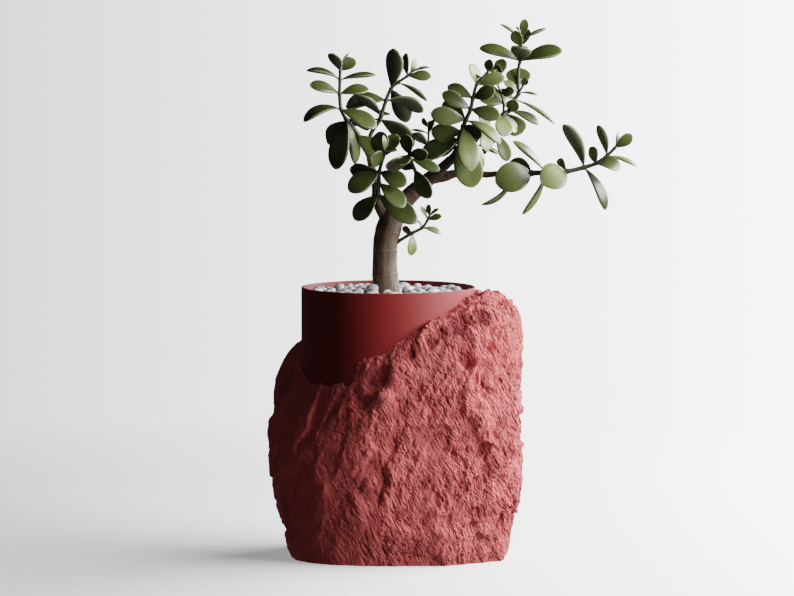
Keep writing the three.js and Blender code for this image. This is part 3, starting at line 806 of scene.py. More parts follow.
def drift(graph, colour, other, scale, amount):
    inputs = {"Colour": colour, "Drifts To": other, "Patch Scale": scale, "Amount": amount}
    return placed(graph, drift_group(), inputs)["Colour"]


def feed_grain(graph, shader, coarse, fine, share, strength, depth, rough=None):
    """Gives a shader a grain's bumps and, if asked, a roughness between two values that goes with them."""
    height = grain(graph, coarse, fine, share)
    if rough:
        graph.feed(shader["Roughness"], graph.spread(height, 0.3, 1.1, *rough))
    graph.feed(shader["Normal"], graph.bump(height, strength, depth))


def empty_graph(owner):
    """The node graph of a new material or world, emptied."""
    owner.use_nodes = True
    owner.node_tree.nodes.clear()
    return Graph(owner.node_tree)


def new_material(name, values):
    """A material with one Principled shader, with plain values for some of its sockets."""
    material = bpy.data.materials.new(name)
    graph = empty_graph(material)
    shader = graph.add("ShaderNodeBsdfPrincipled", values)
    graph.add("ShaderNodeOutputMaterial", {"Surface": shader.outputs["BSDF"]})
    return material, graph, shader.inputs


# ---------- settings ----------


def colour_setting(name, description, default):
    return FloatVectorProperty(
        name=name, description=description, default=default, subtype="COLOR", size=3, min=0, max=1
    )


def length_setting(name, description, default):
    return FloatProperty(
        name=name, description=description, default=default, min=0, unit="LENGTH", precision=4
    )


def share_setting(name, description, default):
    return FloatProperty(
        name=name, description=description, default=default, min=0, max=1, subtype="FACTOR"
    )


class JADE_PG_stand(bpy.types.PropertyGroup):
    colour: colour_setting("Stone", "Colour of the cast stone", (0.52, 0.082, 0.076))
    chips: length_setting("Chips", "Height of the large chips", 0.0072)
    ridges: length_setting("Ridges", "Height of the creased ridges", 0.0024)
    columns: IntProperty(name="Columns", description="Faces round the stand", default=600, min=60)
    rows: IntProperty(name="Rows", description="Faces from foot to top", default=165, min=30)


class JADE_PG_pot(bpy.types.PropertyGroup):
    colour: colour_setting("Pot", "Colour of the matt pot", (0.2, 0.016, 0.015))
    radius: length_setting("Radius", "Outside radius", 0.5 * (POT_HIGH[0] - POT_LOW[0]))
    wall: length_setting("Wall", "Thickness of the wall", 0.003)
    floor: length_setting("Floor", "Thickness of the floor", 0.006)
    edge: length_setting("Edge", "Rounding of the rim", 0.0008)
    foot: length_setting("Foot", "Rounding of the foot", 0.003)
    sides: IntProperty(name="Sides", description="Faces round the pot", default=160, min=24)


class JADE_PG_pebbles(bpy.types.PropertyGroup):
    pale: colour_setting("Pale stone", "Colour of the palest pebbles", (0.5, 0.475, 0.47))
    dark: colour_setting("Dark stone", "Colour of the darkest pebbles", (0.22, 0.22, 0.235))
    fillers: IntProperty(name="Fillers", description="Small stones between the pebbles", default=95, min=0)


class JADE_PG_wood(bpy.types.PropertyGroup):
    bark: colour_setting("Bark", "Colour of the bark", (0.05, 0.03, 0.015))
    pale_bark: colour_setting("Pale bark", "Colour of the bark's pale streaks", (0.108, 0.072, 0.041))
    scar: length_setting("Scar", "Height of the ring scars", 0.0005)
    streak: length_setting("Streak", "Height of the bark's streaks", 0.0004)


class JADE_PG_leaves(bpy.types.PropertyGroup):
    green: colour_setting("Leaf", "Colour of the upper face", (0.039, 0.052, 0.0085))
    # deep and pale also carry painted light and shade in how pale each leaf is, and deep paints shade at each
    # leaf's root.
    deep: colour_setting("Deep leaf", "Colour of the deepest green leaves", (0.012, 0.017, 0.003))
    pale: colour_setting("Pale leaf", "Colour of the palest leaves", (0.18, 0.21, 0.066))
    under: colour_setting("Underside", "Colour of the lower face", (0.095, 0.096, 0.06))
    rim: colour_setting("Rim", "Colour of the leaf's edge", (0.28, 0.31, 0.16))
    stem: colour_setting("Stem", "Colour of the green stems", (0.052, 0.07, 0.019))
    cup: share_setting("Cup", "How far the edges of a leaf rise", 0.14)
    twist: FloatProperty(
        name="Twist", description="Most twist from root to tip", default=math.radians(14), subtype="ANGLE"
    )


class JADE_PG_stage(bpy.types.PropertyGroup):
    key: FloatProperty(name="Key", description="Power of the soft light", default=395, min=0, unit="POWER")
    fill: share_setting("Fill", "Brightness of the shadows", 0.05)
    below: share_setting("Below", "Brightness from below, as a pale floor throws it back", 0.2)
    backdrop: FloatProperty(name="Backdrop", description="Brightness of the backdrop", default=3.12, min=0)


def settings(context, name):
    """The scene's settings for one piece or for the stage."""
    return getattr(context.scene, f"jade_{name}")


# ---------- the boulder stand ----------


def facing(compass, tilt):
    """The unit vector at a compass angle and a tilt upwards."""
    a, e = math.radians(compass), math.radians(tilt)
    return np.array([math.cos(e) * math.cos(a), math.cos(e) * math.sin(a), math.sin(e)])


def inside_faces(ways, faces, hardness):
    """How far unit directions reach inside nearly flat faces that meet in soft edges."""
    total = 0
    for compass, tilt, distance in faces.values():
        total = total + (np.maximum(0, ways @ facing(compass, tilt)) / distance) ** hardness
    least = 1e-300  # so that no way out is endless
    return (total + least) ** (-1 / hardness)


def lump_heights(ways, lumps):
    """How far round lumps stand out along unit directions."""
    total = 0
    for compass, tilt, height, spread in lumps.values():
        angle = np.arccos(np.clip(ways @ facing(compass, tilt), -1, 1))
        total = total + height * np.exp(-((angle / spread) ** 2) / 2)
    return total


def stand_reach(ways):
    """How far the CAD model's boulder reaches from its centre along unit directions, with its hewn flats."""
    reach = inside_faces(ways, STAND_FACES, STAND_HARDNESS) + lump_heights(ways, STAND_LUMPS)
    skin = ways * reach[:, None]
    for size, height in STAND_WAVES:
        reach = reach + height * soft_noise(skin / size)
    flats = inside_faces(ways, HEWN_FACES, HEWN_HARDNESS)
    reach = (reach**-HEWN_HARDNESS + flats**-HEWN_HARDNESS) ** (-1 / HEWN_HARDNESS)
    return (reach + lump_heights(ways, HEWN_LUMPS)) * MM


def slanted(points, size, stretch):
    """Points in units of a size, drawn out along the stone's grain."""
    grain_way = unit(np.array(GRAIN_WAY))
    along = points @ grain_way
    return (points - np.outer(along * (1 - 1 / stretch), grain_way)) / (size * MM)


def creased_noise(points, octaves, seed):
    """Sharp creases from 0 to 1 in several sizes, the finer ones mostly on the crests of the coarser."""
    finer, weaker, gain, shift = 2.03, 0.55, 1.6, 17.7  # each octave is finer, weaker and shifted
    total, weight, strength = 0, 1, 1.0
    for octave in range(octaves):
        crest = (1 - np.abs(lively_noise(points * finer**octave + seed + shift * octave))) ** 2
        total = total + strength * weight * crest
        weight = np.clip(gain * crest, 0, 1)
        strength *= weaker
    return total / gain


def waves(points):
    """Soft waves by which the stone's chips and ridges are bent."""
    size, height = RELIEF["bend"]
    shifts = (3.1, 7.7, 12.9)  # a noise of its own for each axis
    return height * MM * np.stack([lively_noise(points / (size * MM) + shift) for shift in shifts], axis=1)


def roughness(points, key):
    return np.interp(points[:, 0], np.array(ROUGHNESS["from left to right"]) * MM, ROUGHNESS[key])


def stand_relief(points, chips, ridges):
    """How far the rough skin stands out of the boulder's smooth one, at points given in metres."""
    bent = points + waves(points)
    relief = 0
    for size, stretch, share, seed in RELIEF["chips"]:
        chipped = chipped_noise(slanted(bent, size, stretch) + seed, RELIEF["chip edges"])
        relief = relief + share * roughness(points, "chips") * chips * chipped
    size, seed = RELIEF["patches"]
    least, middle, most = RELIEF["patch shares"]
    patches = np.clip(middle + lively_noise(points / (size * MM) + seed), least, most)
    size, stretch, octaves, seed = RELIEF["ridges"]
    creased = creased_noise(slanted(bent, size, stretch), octaves, seed) - 0.5
    return relief + patches * roughness(points, "ridges") * ridges * creased


def stand_skin(chips, ridges, columns, rows):
    """The boulder's closed skin, from below the floor to its top. The top is cut away and has few rows."""
    lowest, shoulder, few = math.radians(-62), math.radians(62), 8
    tilts = np.append(np.linspace(lowest, shoulder, rows), np.linspace(shoulder, math.pi / 2, few)[1:-1])
    compass = 2 * np.pi * np.arange(columns) / columns
    level = np.stack([np.cos(compass), np.sin(compass), np.zeros(columns)], axis=1)
    ways = np.cos(tilts)[:, None, None] * level + np.sin(tilts)[:, None, None] * np.array([0, 0, 1.0])
    ways = np.concatenate([[[0, 0, -1]], ways.reshape(-1, 3), [[0, 0, 1]]])
    smooth = ways * stand_reach(ways)[:, None]
    relief = stand_relief(smooth, chips, ridges) + lump_heights(ways, STAND_HOLLOWS) * MM
    return np.array(STAND_CENTRE) * MM + smooth + relief[:, None] * ways, skin_faces(len(tilts), columns)


def block(low, high):
    """A closed box as a mesh, for cutting."""
    corners = [[(low, high)[pick][axis] for axis, pick in enumerate(corner)] for corner in CORNERS]
    faces = [(0, 1, 3, 2), (4, 6, 7, 5), (0, 4, 5, 1), (2, 3, 7, 6), (0, 2, 6, 4), (1, 5, 7, 3)]
    gathering = Gathering()
    gathering.add(np.array(corners, float), faces)
    return gathering.mesh("block")


def pot_pocket(radius):
    """The round pocket that holds the pot, as a mesh for cutting, up to well above the stand."""
    out, low = radius + POCKET["side gap"] * MM, POT_LOW[2] - POCKET["foot gap"] * MM
    above = 0.5
    gathering = Gathering()
    gathering.add(*turned_skin([(0, low), (out, low), (out, above), (0, above)], 192))
    return gathering.mesh("pocket")


def dent_shade_mark(points):
    """From 0 in the deepest dents of the stand's skin to 1 on its proudest chips: where shade is painted in
    its dents.
    """
    away = points - np.array(STAND_CENTRE) * MM
    reach = np.linalg.norm(away, axis=1)
    proud = reach - stand_reach(away / reach[:, None])
    return np.clip(0.5 + proud / RELIEF_SPAN, 0, 1)


def crease_net(graph):
    """A net of creases, some that lean to the right and some to the left."""
    place = graph.bent(0.004, 90.0)
    right, left = (graph.creases(graph.drawn_out(place, lean, 3.2), 130.0) for lean in (38, -27))
    swap = graph.spread(graph.noise(graph.place(), 34.0), 0.44, 0.56)
    return graph.maths("ADD", graph.maths("MULTIPLY", right, swap), left)


def stand_material(colour):
    material, graph, shader = new_material("cast_stone", {"Roughness": 0.8, "Specular IOR Level": 0.3})
    pale = rgba([min(1, 1.3 * c + 0.02) for c in colour])
    # deep is a darker copy of the stone's colour: painted shade in dents, hollows and creases.
    deep = rgba([share * c for share, c in zip((0.42, 0.28, 0.28), colour)])
    tone = drift(graph, rgba(colour), pale, scale=45.0, amount=0.3)
    # Painted shade in the dents and hollows, by the relief mark.
    tone = graph.mix(graph.spread(graph.mark("relief"), 0.45, 0.1), tone, deep)
    net = crease_net(graph)
    # Painted shade in the hollows between the creases.
    graph.feed(shader["Base Color"], graph.mix(graph.spread(net, 1.0, -0.2, 0.0, 0.35), tone, deep))
    lively = graph.spread(graph.sideways(), -0.1, 0.12, 0.3, 1.7)
    patches = graph.spread(graph.noise(graph.place(), 26.0), 0.42, 0.6, 0.4, 1.05)
    height = graph.maths("MULTIPLY", net, graph.maths("MULTIPLY", lively, patches))
    graph.feed(shader["Normal"], graph.bump(height, strength=1.0, depth=0.0032))
    return material


class JADE_OT_stand(bpy.types.Operator):
    """Makes the rough boulder stand with the pot's pocket"""

    bl_idname = "jade.stand"
    bl_label = "Boulder stand"

    def execute(self, context):
        stand, pot = settings(context, "stand"), settings(context, "pot")
        gathering = Gathering()
        gathering.add(*stand_skin(stand.chips, stand.ridges, stand.columns, stand.rows))
        made = new_object("boulder_stand", gathering.mesh("boulder_stand"))
        wide = 0.6
        cut_away(made, block((-wide, -wide, -wide), (wide, wide, 0)))
        cut_away(made, pot_pocket(pot.radius))
        # The relief mark says where shade is painted in the stand's dents.
        keep_mark(made.data, "relief", dent_shade_mark(mesh_points(made.data)))
        dress(made, "stand", [stand_material(stand.colour)], crease=50)
        return {"FINISHED"}


# ---------- the pot and what fills it ----------


def pot_profile(pot):
    """The pot's (radius, height) from the middle of its foot, over the rim, to the middle of its floor."""
    foot, rim, inside, floor = POT_LOW[2], POT_HIGH[2], pot.radius - pot.wall, POT_LOW[2] + pot.floor
    corners = [(0, foot), (pot.radius, foot), (pot.radius, rim), (inside, rim), (inside, floor), (0, floor)]
    profile = corners[:1]
    for i, radius in enumerate((pot.foot, pot.edge, pot.edge, pot.foot), 1):
        profile += rounded(corners[i], corners[i - 1], corners[i + 1], radius)
    return profile + corners[-1:]


def pot_material(colour):
    material, graph, shader = new_material("matt_red_glaze", {"Specular IOR Level": 0.2})
    outside = drift(graph, rgba(colour), rgba([0.9 * c for c in colour]), scale=14.0, amount=0.5)
    # The inside is a darker copy of the pot's colour: painted shade inside the pot.
    inside = rgba([0.6 * c for c in colour])
    graph.feed(shader["Base Color"], graph.mix(graph.mark("inside"), outside, inside))
    feed_grain(graph, shader, 700.0, 2600.0, share=0.5, strength=0.08, depth=0.0004, rough=(0.5, 0.6))
    return material


class JADE_OT_pot(bpy.types.Operator):
    """Makes the thin-walled round pot"""

    bl_idname = "jade.pot"
    bl_label = "Round pot"

    def execute(self, context):
        pot = settings(context, "pot")
        points, faces = turned_skin(pot_profile(pot), pot.sides)
        out = np.hypot(points[:, 0], points[:, 1])
        within, above_foot = pot.radius - 0.7 * pot.wall, POT_LOW[2] + 0.5 * pot.floor
        # Where shade is painted inside the pot.
        inside = (out < within) & (points[:, 2] > above_foot)
        gathering = Gathering("inside")
        gathering.add(points, faces, inside=inside.astype(float))
        made = new_object("round_pot", gathering.mesh("round_pot"))
        dress(made, "pot", [pot_material(pot.colour)], crease=40)
        return {"FINISHED"}


def soil_material():
    material, graph, shader = new_material("potting_soil", {"Roughness": 0.95})
    dark, light = rgba((0.05, 0.033, 0.022)), rgba((0.11, 0.075, 0.05))
    graph.feed(shader["Base Color"], drift(graph, dark, light, scale=160.0, amount=0.8))
    feed_grain(graph, shader, 350.0, 1200.0, share=0.6, strength=0.8, depth=0.003)
    return material


def grit_material():
    material, graph, shader = new_material("grey_grit", {"Roughness": 0.9})
    light, dark = rgba((0.12, 0.12, 0.12)), rgba((0.05, 0.048, 0.045))
    graph.feed(shader["Base Color"], drift(graph, light, dark, scale=300.0, amount=0.9))
    feed_grain(graph, shader, 500.0, 1600.0, share=0.5, strength=0.9, depth=0.002)
    return material


class JADE_OT_soil(bpy.types.Operator):
    """Gives the CAD model's soil, which the pebbles hide, its crumbly finish"""

    bl_idname = "jade.soil"
    bl_label = "Soil"

    def execute(self, context):
        places = bpy.data.objects["soil"].material_slots
        if not places:
            raise RuntimeError("the soil has no place for a material")
        material = soil_material()
        for place in places:
            place.link = "OBJECT"
            place.material = material
        return {"FINISHED"}


def ball_skin(rings, around):
    """A unit ball from its top to its bottom."""
    down = np.pi * np.arange(1, rings + 1) / (rings + 1)
    return turned_skin([(0, 1), *zip(np.sin(down), np.cos(down)), (0, -1)], around)


def stone_skin(centre, halves, turn, rings=14, around=22):
    """A worn pebble: a ball with slightly flat sides and soft dents."""
    points, faces = ball_skin(rings, around)
    seed, bulge = 100 * centre, 1
    for size, height in STONE["dents"]:
        bulge = bulge + height * lively_noise(points * size + seed)
    squared = np.sign(points) * np.abs(points) ** STONE["roundness"]
    shaped = unit(squared) * bulge[:, None] * halves
    c, s = math.cos(turn), math.sin(turn)
    return shaped @ np.array([[c, s, 0], [-s, c, 0], [0, 0, 1]]) + centre, faces


def ring_pebbles():
    """The CAD model's pebbles: (centre, half sizes, turn) of each, from the same draws."""
    draw = drawer(PEBBLES["seed"])
    ring = PEBBLES["first ring"]
    while ring < PEBBLES["fill radius"] - PEBBLES["half length"][1]:
        count = round(2 * math.pi * ring / PEBBLES["spacing"])
        for i in range(count):
            angle = (i + draw(0, 0.5)) / count * 2 * math.pi + ring
            out = ring + draw(-PEBBLES["wander"], PEBBLES["wander"])
            half = draw(*PEBBLES["half length"])
            narrow, turn, depth = draw(*PEBBLES["narrowing"]), draw(0, math.pi), draw(*PEBBLES["top depth"])
            height = half * PEBBLES["flatness"]
            centre = (out * math.cos(angle), out * math.sin(angle), RIM - depth - height)
            yield np.array(centre) * MM, np.array((half, half * narrow, height)) * MM, turn
        ring += PEBBLES["ring spacing"]


def filler_pebbles(count):
    """Smaller stones between and under the others."""
    draw = drawer(FILLERS["seed"])
    inner, width = FILLERS["ring"]
    for i in range(count):
        out = inner + width * math.sqrt((i + draw(0, 1)) / count)
        angle = i * FILLERS["golden angle"] + draw(-0.1, 0.1)
        half = draw(*FILLERS["half length"])
        height = FILLERS["flatness"] * half
        centre = (out * math.cos(angle), out * math.sin(angle), RIM - draw(*FILLERS["top depth"]) - height)
        halves = (half, half * draw(*FILLERS["narrowing"]), height)
        yield np.array(centre) * MM, np.array(halves) * MM, draw(0, 3)


def grit_bed():
    """The round bed of grit that shows between the stones."""
    low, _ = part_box("pebbles")
    out, top = PEBBLES["fill radius"] * MM, POT_HIGH[2] - PEBBLES["grit depth"] * MM
    return turned_skin([(0, low[2]), (out, low[2]), (out, top), (0, top)], 96)


def pebble_material(pale, dark):
    material, graph, shader = new_material("river_pebble", {"Specular IOR Level": 0.5})
    tone = graph.mix(graph.mark("tone"), rgba(pale), rgba(dark))
    vein = graph.spread(graph.noise(graph.place(), 130.0, 6.0, 0.65), 0.5, 0.7, 0.0, 0.5)
    tone = graph.mix(vein, tone, rgba([0.6 * c for c in dark]))
    graph.feed(shader["Base Color"], drift(graph, tone, rgba(pale), scale=60.0, amount=0.4))
    feed_grain(graph, shader, 900.0, 3000.0, share=0.4, strength=0.15, depth=0.0004, rough=(0.38, 0.6))
    return material


class JADE_OT_pebbles(bpy.types.Operator):
    """Makes the pebbles on the soil, each a stone of its own"""

    bl_idname = "jade.pebbles"
    bl_label = "Pebbles"

    def execute(self, context):
        pebbles = settings(context, "pebbles")
        luck = np.random.default_rng(3)
        gathering = Gathering("tone")
        for centre, halves, turn in ring_pebbles():
            points, faces = stone_skin(centre, halves * PEBBLES["fuller"], turn)
            gathering.add(points, faces, tone=luck.random() ** 1.5)
        centre, halves = (np.array(GREY_STONE[key]) * MM for key in ("centre", "halves"))
        gathering.add(*stone_skin(centre, halves, GREY_STONE["turn"]), tone=GREY_STONE["tone"])
        for centre, halves, turn in filler_pebbles(pebbles.fillers):
            points, faces = stone_skin(centre, halves, turn, rings=8, around=14)
            gathering.add(points, faces, tone=0.5 + 0.5 * luck.random())
        gathering.add(*grit_bed(), slot=1)
        made = new_object("pebble_dressing", gathering.mesh("pebble_dressing"))
        materials = [pebble_material(pebbles.pale, pebbles.dark), grit_material()]
        dress(made, "pebbles", materials, crease=60)
        return {"FINISHED"}


# ---------- the wood ----------


def limb_path(rows, steps):
    """Points along a limb's middle and its radius at each."""
    rows = np.array(rows, float) * MM
    path, places = smooth_path(rows[:, :3], steps)
    return path, np.interp(places, np.arange(len(rows)), rows[:, 3])


def nearest_limb(points):
    """For each point: its limb's number, the distance along that limb in metres and the angle round it."""
    best = np.full(len(points), np.inf)
    limb, reach, angle = (np.zeros(len(points)) for _ in range(3))
    for number, rows in enumerate(LIMBS.values()):
        path, radii = limb_path(rows, 8)
        along, across, deep = rod_frame(path)
        length = np.concatenate([[0], np.cumsum(np.linalg.norm(np.diff(path, axis=0), axis=1))])
        away = np.linalg.norm(points[:, None] - path[None], axis=2)
        near = away.argmin(1)
        outside = away[np.arange(len(points)), near] - radii[near]
        mine = outside < best
        offset = points - path[near]
        best = np.where(mine, outside, best)
        limb[mine] = number
        reach[mine] = (length[near] + np.einsum("ij,ij->i", offset, along[near]))[mine]
        aside, behind = (np.einsum("ij,ij->i", offset, way[near]) for way in (across, deep))
        angle[mine] = np.arctan2(behind, aside)[mine]
    return limb.astype(int), reach, angle


def scar_strength(limb, reach, angle):
    """From 0 to 1: how strongly a ring scar shows at each place on the bark."""
    slow, quick = BARK["scar waves"]
    wobble = slow * MM * np.sin(2 * angle + limb) + quick * MM * np.sin(3 * angle + 40 * reach)
    strength = np.zeros(len(reach))
    for number, places in enumerate(SCARS.values()):
        for place in places:
            ring = np.exp(-(((reach - place * MM + wobble) / (BARK["scar width"] * MM)) ** 2))
            strength = np.where(limb == number, np.maximum(strength, ring), strength)
    return strength


def streaks_along(limb, reach, angle):
    """Streaks of the bark that run along each limb, about -1 to 1."""
    turns = BARK["turns"]
    along = reach / (BARK["streak length"] * MM) + 9 * limb  # with a noise of its own for each limb
    around = np.stack([turns * np.cos(angle), turns * np.sin(angle), along], axis=1)
    return sum(BARK["streak share"] * lively_noise(around * finer) for finer in BARK["streaks"])


def wood_material(bark, pale):
    material, graph, shader = new_material("jade_bark", {"Roughness": 0.6, "Specular IOR Level": 0.3})
    tone = graph.mix(graph.spread(graph.mark("streak"), 0.25, 0.8), rgba(bark), rgba(pale))
    tone = drift(graph, tone, rgba([0.45 * c for c in bark]), scale=75.0, amount=0.45)
    scarred = graph.maths("MULTIPLY", graph.mark("scar"), 0.55)
    graph.feed(shader["Base Color"], graph.mix(scarred, tone, rgba([1.1 * c for c in pale])))
    feed_grain(graph, shader, 500.0, 1800.0, share=0.4, strength=0.45, depth=0.001)
    return material


class JADE_OT_wood(bpy.types.Operator):
    """Makes the bare wood: the trunk and its three limbs, grown together"""

    bl_idname = "jade.wood"
    bl_label = "Trunk and limbs"

    def execute(self, context):
        wood = settings(context, "wood")
        gathering = Gathering()
        for rows in LIMBS.values():
            path, radii = limb_path(rows, 6)
            points, faces, _ = rod_skin(path, radii, 32)
            gathering.add(points, faces)
        made = new_object("jade_trunk", gathering.mesh("jade_trunk"))
        apply_modifier(made, "REMESH", mode="VOXEL", voxel_size=BARK["voxel"] * MM)
        apply_modifier(made, "SMOOTH", factor=0.5, iterations=BARK["smoothings"])
        points, normals = mesh_points(made.data), mesh_normals(made.data)
        where = nearest_limb(points)
        scar, streak = scar_strength(*where), streaks_along(*where)
        lump_size, lump_height = (value * MM for value in BARK["lumps"])
        lumps = lump_height * lively_noise(points / lump_size)
        height = wood.scar * scar + wood.streak * streak + lumps
        move_points(made.data, points + height[:, None] * normals)
        keep_mark(made.data, "scar", scar)
        keep_mark(made.data, "streak", np.clip(0.5 + 0.6 * streak, 0, 1))
        dress(made, "trunk", [wood_material(wood.bark, wood.pale_bark)])
        return {"FINISHED"}


# ---------- stems and leaves ----------

LEAF = {
    "thickness": 0.15,  # of its length, a little fuller than the CAD model's
    "most thickness": 0.42,  # of its width
    "fullness": (0.8, 1.15),  # of its upper and its lower side
    "broader": 1.07,
    "slimness": (1.15, 1.6),  # length by width of a round leaf and of a common one
    "full at": (1.1, 1.5),
    "bluntness": 0.56,
    "squareness": 0.8,  # 1 for an elliptical section, less for thick round margins
    "root": 0.35,  # how far out of the stem's axis a leaf starts, as a share of the stem's radius
    "least half": 0.8,
    "least arch": 0.6,  # in radians
    "still at": 0.3,  # the share of its length that doesn't turn as it twists
    "rings": 22,
    "around": 32,
}
STEM = {"sides": 12, "steps": 6, "bud": 2, "knuckle": 0.3, "knuckle reach": 1.8, "taper": 1.6}


def leaf_outline(share, slimness):
    """The half width of a leaf at a share of its length, where 1 is its widest. Broad leaves are rounder."""
    full = np.interp(slimness, LEAF["slimness"], LEAF["full at"])
    return np.sin(np.pi * share**full) ** LEAF["bluntness"]


def leaf_frame(leaf):
    """Unit vectors along a leaf, out of its upper face and to its side."""
    lean, toward, turn = (math.radians(angle) for angle in (leaf.lean, leaf.toward, leaf.turn))
    level = math.cos(toward)
    along = np.array([math.sin(lean) * level, -math.sin(toward), math.cos(lean) * level])
    shown = unit(FRONT - along * (FRONT @ along))
    sunny = np.cross(along, shown)
    sunny *= np.sign(sunny @ SUNNY) or 1.0
    upper = shown * math.cos(turn) + sunny * math.sin(turn)
    return along, upper, np.cross(upper, along)


def leaf_sections(leaf, share, wide, high, cup, twist):
    """How far the points of each ring lie across the leaf and above its middle, cupped and twisted."""
    length, width = leaf.length * MM, LEAF["broader"] * leaf.width * MM
    thickness = min(LEAF["thickness"] * length, LEAF["most thickness"] * width)
    outline, least = leaf_outline(share, length / width), LEAF["least half"] * MM
    half_width, half_thick = (np.maximum(0.5 * size * outline, least) for size in (width, thickness))
    across = half_width * wide
    lift = cup * half_width * outline
    up = half_thick * np.where(high > 0, *LEAF["fullness"]) * high + lift * (wide**2 - 0.5)
    swing = twist * (share - LEAF["still at"])
    return across * np.cos(swing) - up * np.sin(swing), up * np.cos(swing) + across * np.sin(swing)


def arched(leaf, share, up):
    """How far along and above its chord each point of a leaf lies, bent into an arc."""
    bend = max(math.radians(leaf.arch), LEAF["least arch"])
    arc = leaf.length * MM / (2 * math.sin(bend / 2))
    slope = bend * (0.5 - share)
    forward = arc * (math.sin(bend / 2) - np.sin(slope)) - up * np.sin(slope)
    rise = arc * (np.cos(slope) - math.cos(bend / 2)) + up * np.cos(slope)
    return forward, rise


def leaf_marks(share, wide, high):
    """What a leaf's colour goes by: the place along and across it, its upper side and its rim."""
    tip = np.clip((share - 0.93) / 0.06, 0, 1)
    edge = np.clip((np.abs(wide) - 0.9) / 0.08, 0, 1)
    return {"share": share, "across": wide, "upper": 0.5 + 0.5 * high, "rim": np.maximum(edge, tip)}


def leaf_skin(joint, stem_radius, leaf, cup, twist):
    """A fleshy leaf drawn out along an arc from its root. Gives its points, faces and marks."""
    along, upper, side = leaf_frame(leaf)
    rings, around = LEAF["rings"], LEAF["around"]
    share = 0.5 * (1 - np.cos(np.pi * np.arange(rings + 2) / (rings + 1)))[:, None]
    angle = 2 * np.pi * np.arange(around) / around
    wide, high = (np.sign(v) * np.abs(v) ** LEAF["squareness"] for v in (np.cos(angle), np.sin(angle)))
    sections = leaf_sections(leaf, share[1:-1], wide, high, cup, twist)
    across, up = (np.pad(rows, ((1, 1), (0, 0))) for rows in sections)
    forward, rise = arched(leaf, share, up)
    root = joint + LEAF["root"] * stem_radius * along
    points = root + forward[..., None] * along + rise[..., None] * upper + across[..., None] * side
    kept = np.r_[0, around : around * (rings + 1) + 1]  # the first and the last ring are one point each
    marks = leaf_marks(share, wide, high)
    marks = {name: np.broadcast_to(values, up.shape).reshape(-1)[kept] for name, values in marks.items()}
    return points.reshape(-1, 3)[kept], skin_faces(rings, around), marks


def stem_line(stem):
    """A stem's given points with its bud, and its radius at each."""
    points = np.array([at for at, _ in stem.joints], float) * MM
    bud = points[-1] + STEM["bud"] * MM * unit(points[-1] - points[-2])
    points = np.concatenate([points, bud[None]])
    taper = np.linspace(0, 1, len(points)) ** STEM["taper"]
    return points, (stem.foot + (stem.tip - stem.foot) * taper) * MM


def add_stem(gathering, stem):
    """The green stem itself, with a knuckle where each pair of leaves grows."""
    points, radii = stem_line(stem)
    path, places = smooth_path(points, STEM["steps"])
    radius = np.interp(places, np.arange(len(points)), radii)
    for at, leaves in stem.joints:
        if leaves:
            away = np.linalg.norm(path / MM - at, axis=1)
            radius = radius * (1 + STEM["knuckle"] * np.exp(-((away / STEM["knuckle reach"]) ** 2)))
    skin, faces, ring = rod_skin(path, radius, STEM["sides"])
    gathering.add(skin, faces, 1, share=places[ring] / places[-1])


def add_leaves(gathering, stem, leaves, luck):
    """The leaves of a stem, each cupped, twisted and toned a little differently."""
    points, radii = stem_line(stem)
    for i, (_, rows) in enumerate(stem.joints):
        for leaf in (Leaf(*row) for row in rows):
            cup = leaves.cup * luck.uniform(0.5, 1.5)
            twist = leaves.twist * luck.uniform(-1, 1)
            skin, faces, marks = leaf_skin(points[i], radii[i], leaf, cup, twist)
            # Partly the leaf's own colour, partly painted light and shade: paler for lit and glossy leaves,
            # deeper for shaded ones.
            paleness = stem.paleness + leaf.paler + luck.uniform(-0.1, 0.1)
            gathering.add(skin, faces, pale=np.clip(0.5 + 0.5 * paleness, 0, 1), **marks)


def leaf_tone(graph, leaves):
    """A leaf's colour: green by its paleness, then its lower side, its light rim and painted shade at its
    root.
    """
    # The pale mark is partly the leaf's own colour and partly painted light and shade.
    pale = graph.mark("pale")
    tone = graph.mix(graph.spread(pale, 0.0, 0.5), rgba(leaves.deep), rgba(leaves.green))
    tone = graph.mix(graph.spread(pale, 0.5, 1.0), tone, rgba(leaves.pale))
    tone = drift(graph, tone, rgba(leaves.deep), scale=55.0, amount=0.3)
    lower = graph.spread(graph.mark("upper"), 0.62, 0.38)
    shown = graph.spread(pale, 0.0, 0.7, 0.3, 0.9)
    tone = graph.mix(graph.maths("MULTIPLY", lower, shown), tone, rgba(leaves.under))
    tone = graph.mix(graph.maths("MULTIPLY", graph.mark("rim"), 0.6), tone, rgba(leaves.rim))
    # Painted shade: each leaf is darker towards its root, where the stem and the other leaves shade it.
    return graph.mix(graph.spread(graph.mark("share"), 0.0, 0.6, 0.4, 0.0), tone, rgba(leaves.deep))


def leaf_material(leaves):
    material, graph, shader = new_material("waxy_leaf", {"Specular IOR Level": 0.46})
    graph.feed(shader["Base Color"], leaf_tone(graph, leaves))
    height = grain(graph, coarse=650.0, fine=2200.0, share=0.3)
    graph.feed(shader["Roughness"], graph.spread(height, 0.3, 1.1, 0.3, 0.42))
    fold = graph.spread(graph.maths("ABSOLUTE", graph.mark("across")), 0.0, 0.14, 0.0, 0.5)
    height = graph.maths("ADD", graph.maths("MULTIPLY", height, 0.35), fold)
    graph.feed(shader["Normal"], graph.bump(height, strength=0.14, depth=0.0005))
    return material


def stem_material(leaves, wood):
    material, graph, shader = new_material("green_stem", {"Roughness": 0.5, "Specular IOR Level": 0.45})
    tone = graph.mix(graph.spread(graph.mark("share"), 0.0, 0.3), rgba(wood.bark), rgba(leaves.stem))
    tone = drift(graph, tone, rgba([0.55 * c for c in leaves.stem]), scale=120.0, amount=0.5)
    graph.feed(shader["Base Color"], tone)
    feed_grain(graph, shader, 900.0, 2600.0, share=0.4, strength=0.3, depth=0.0006)
    return material


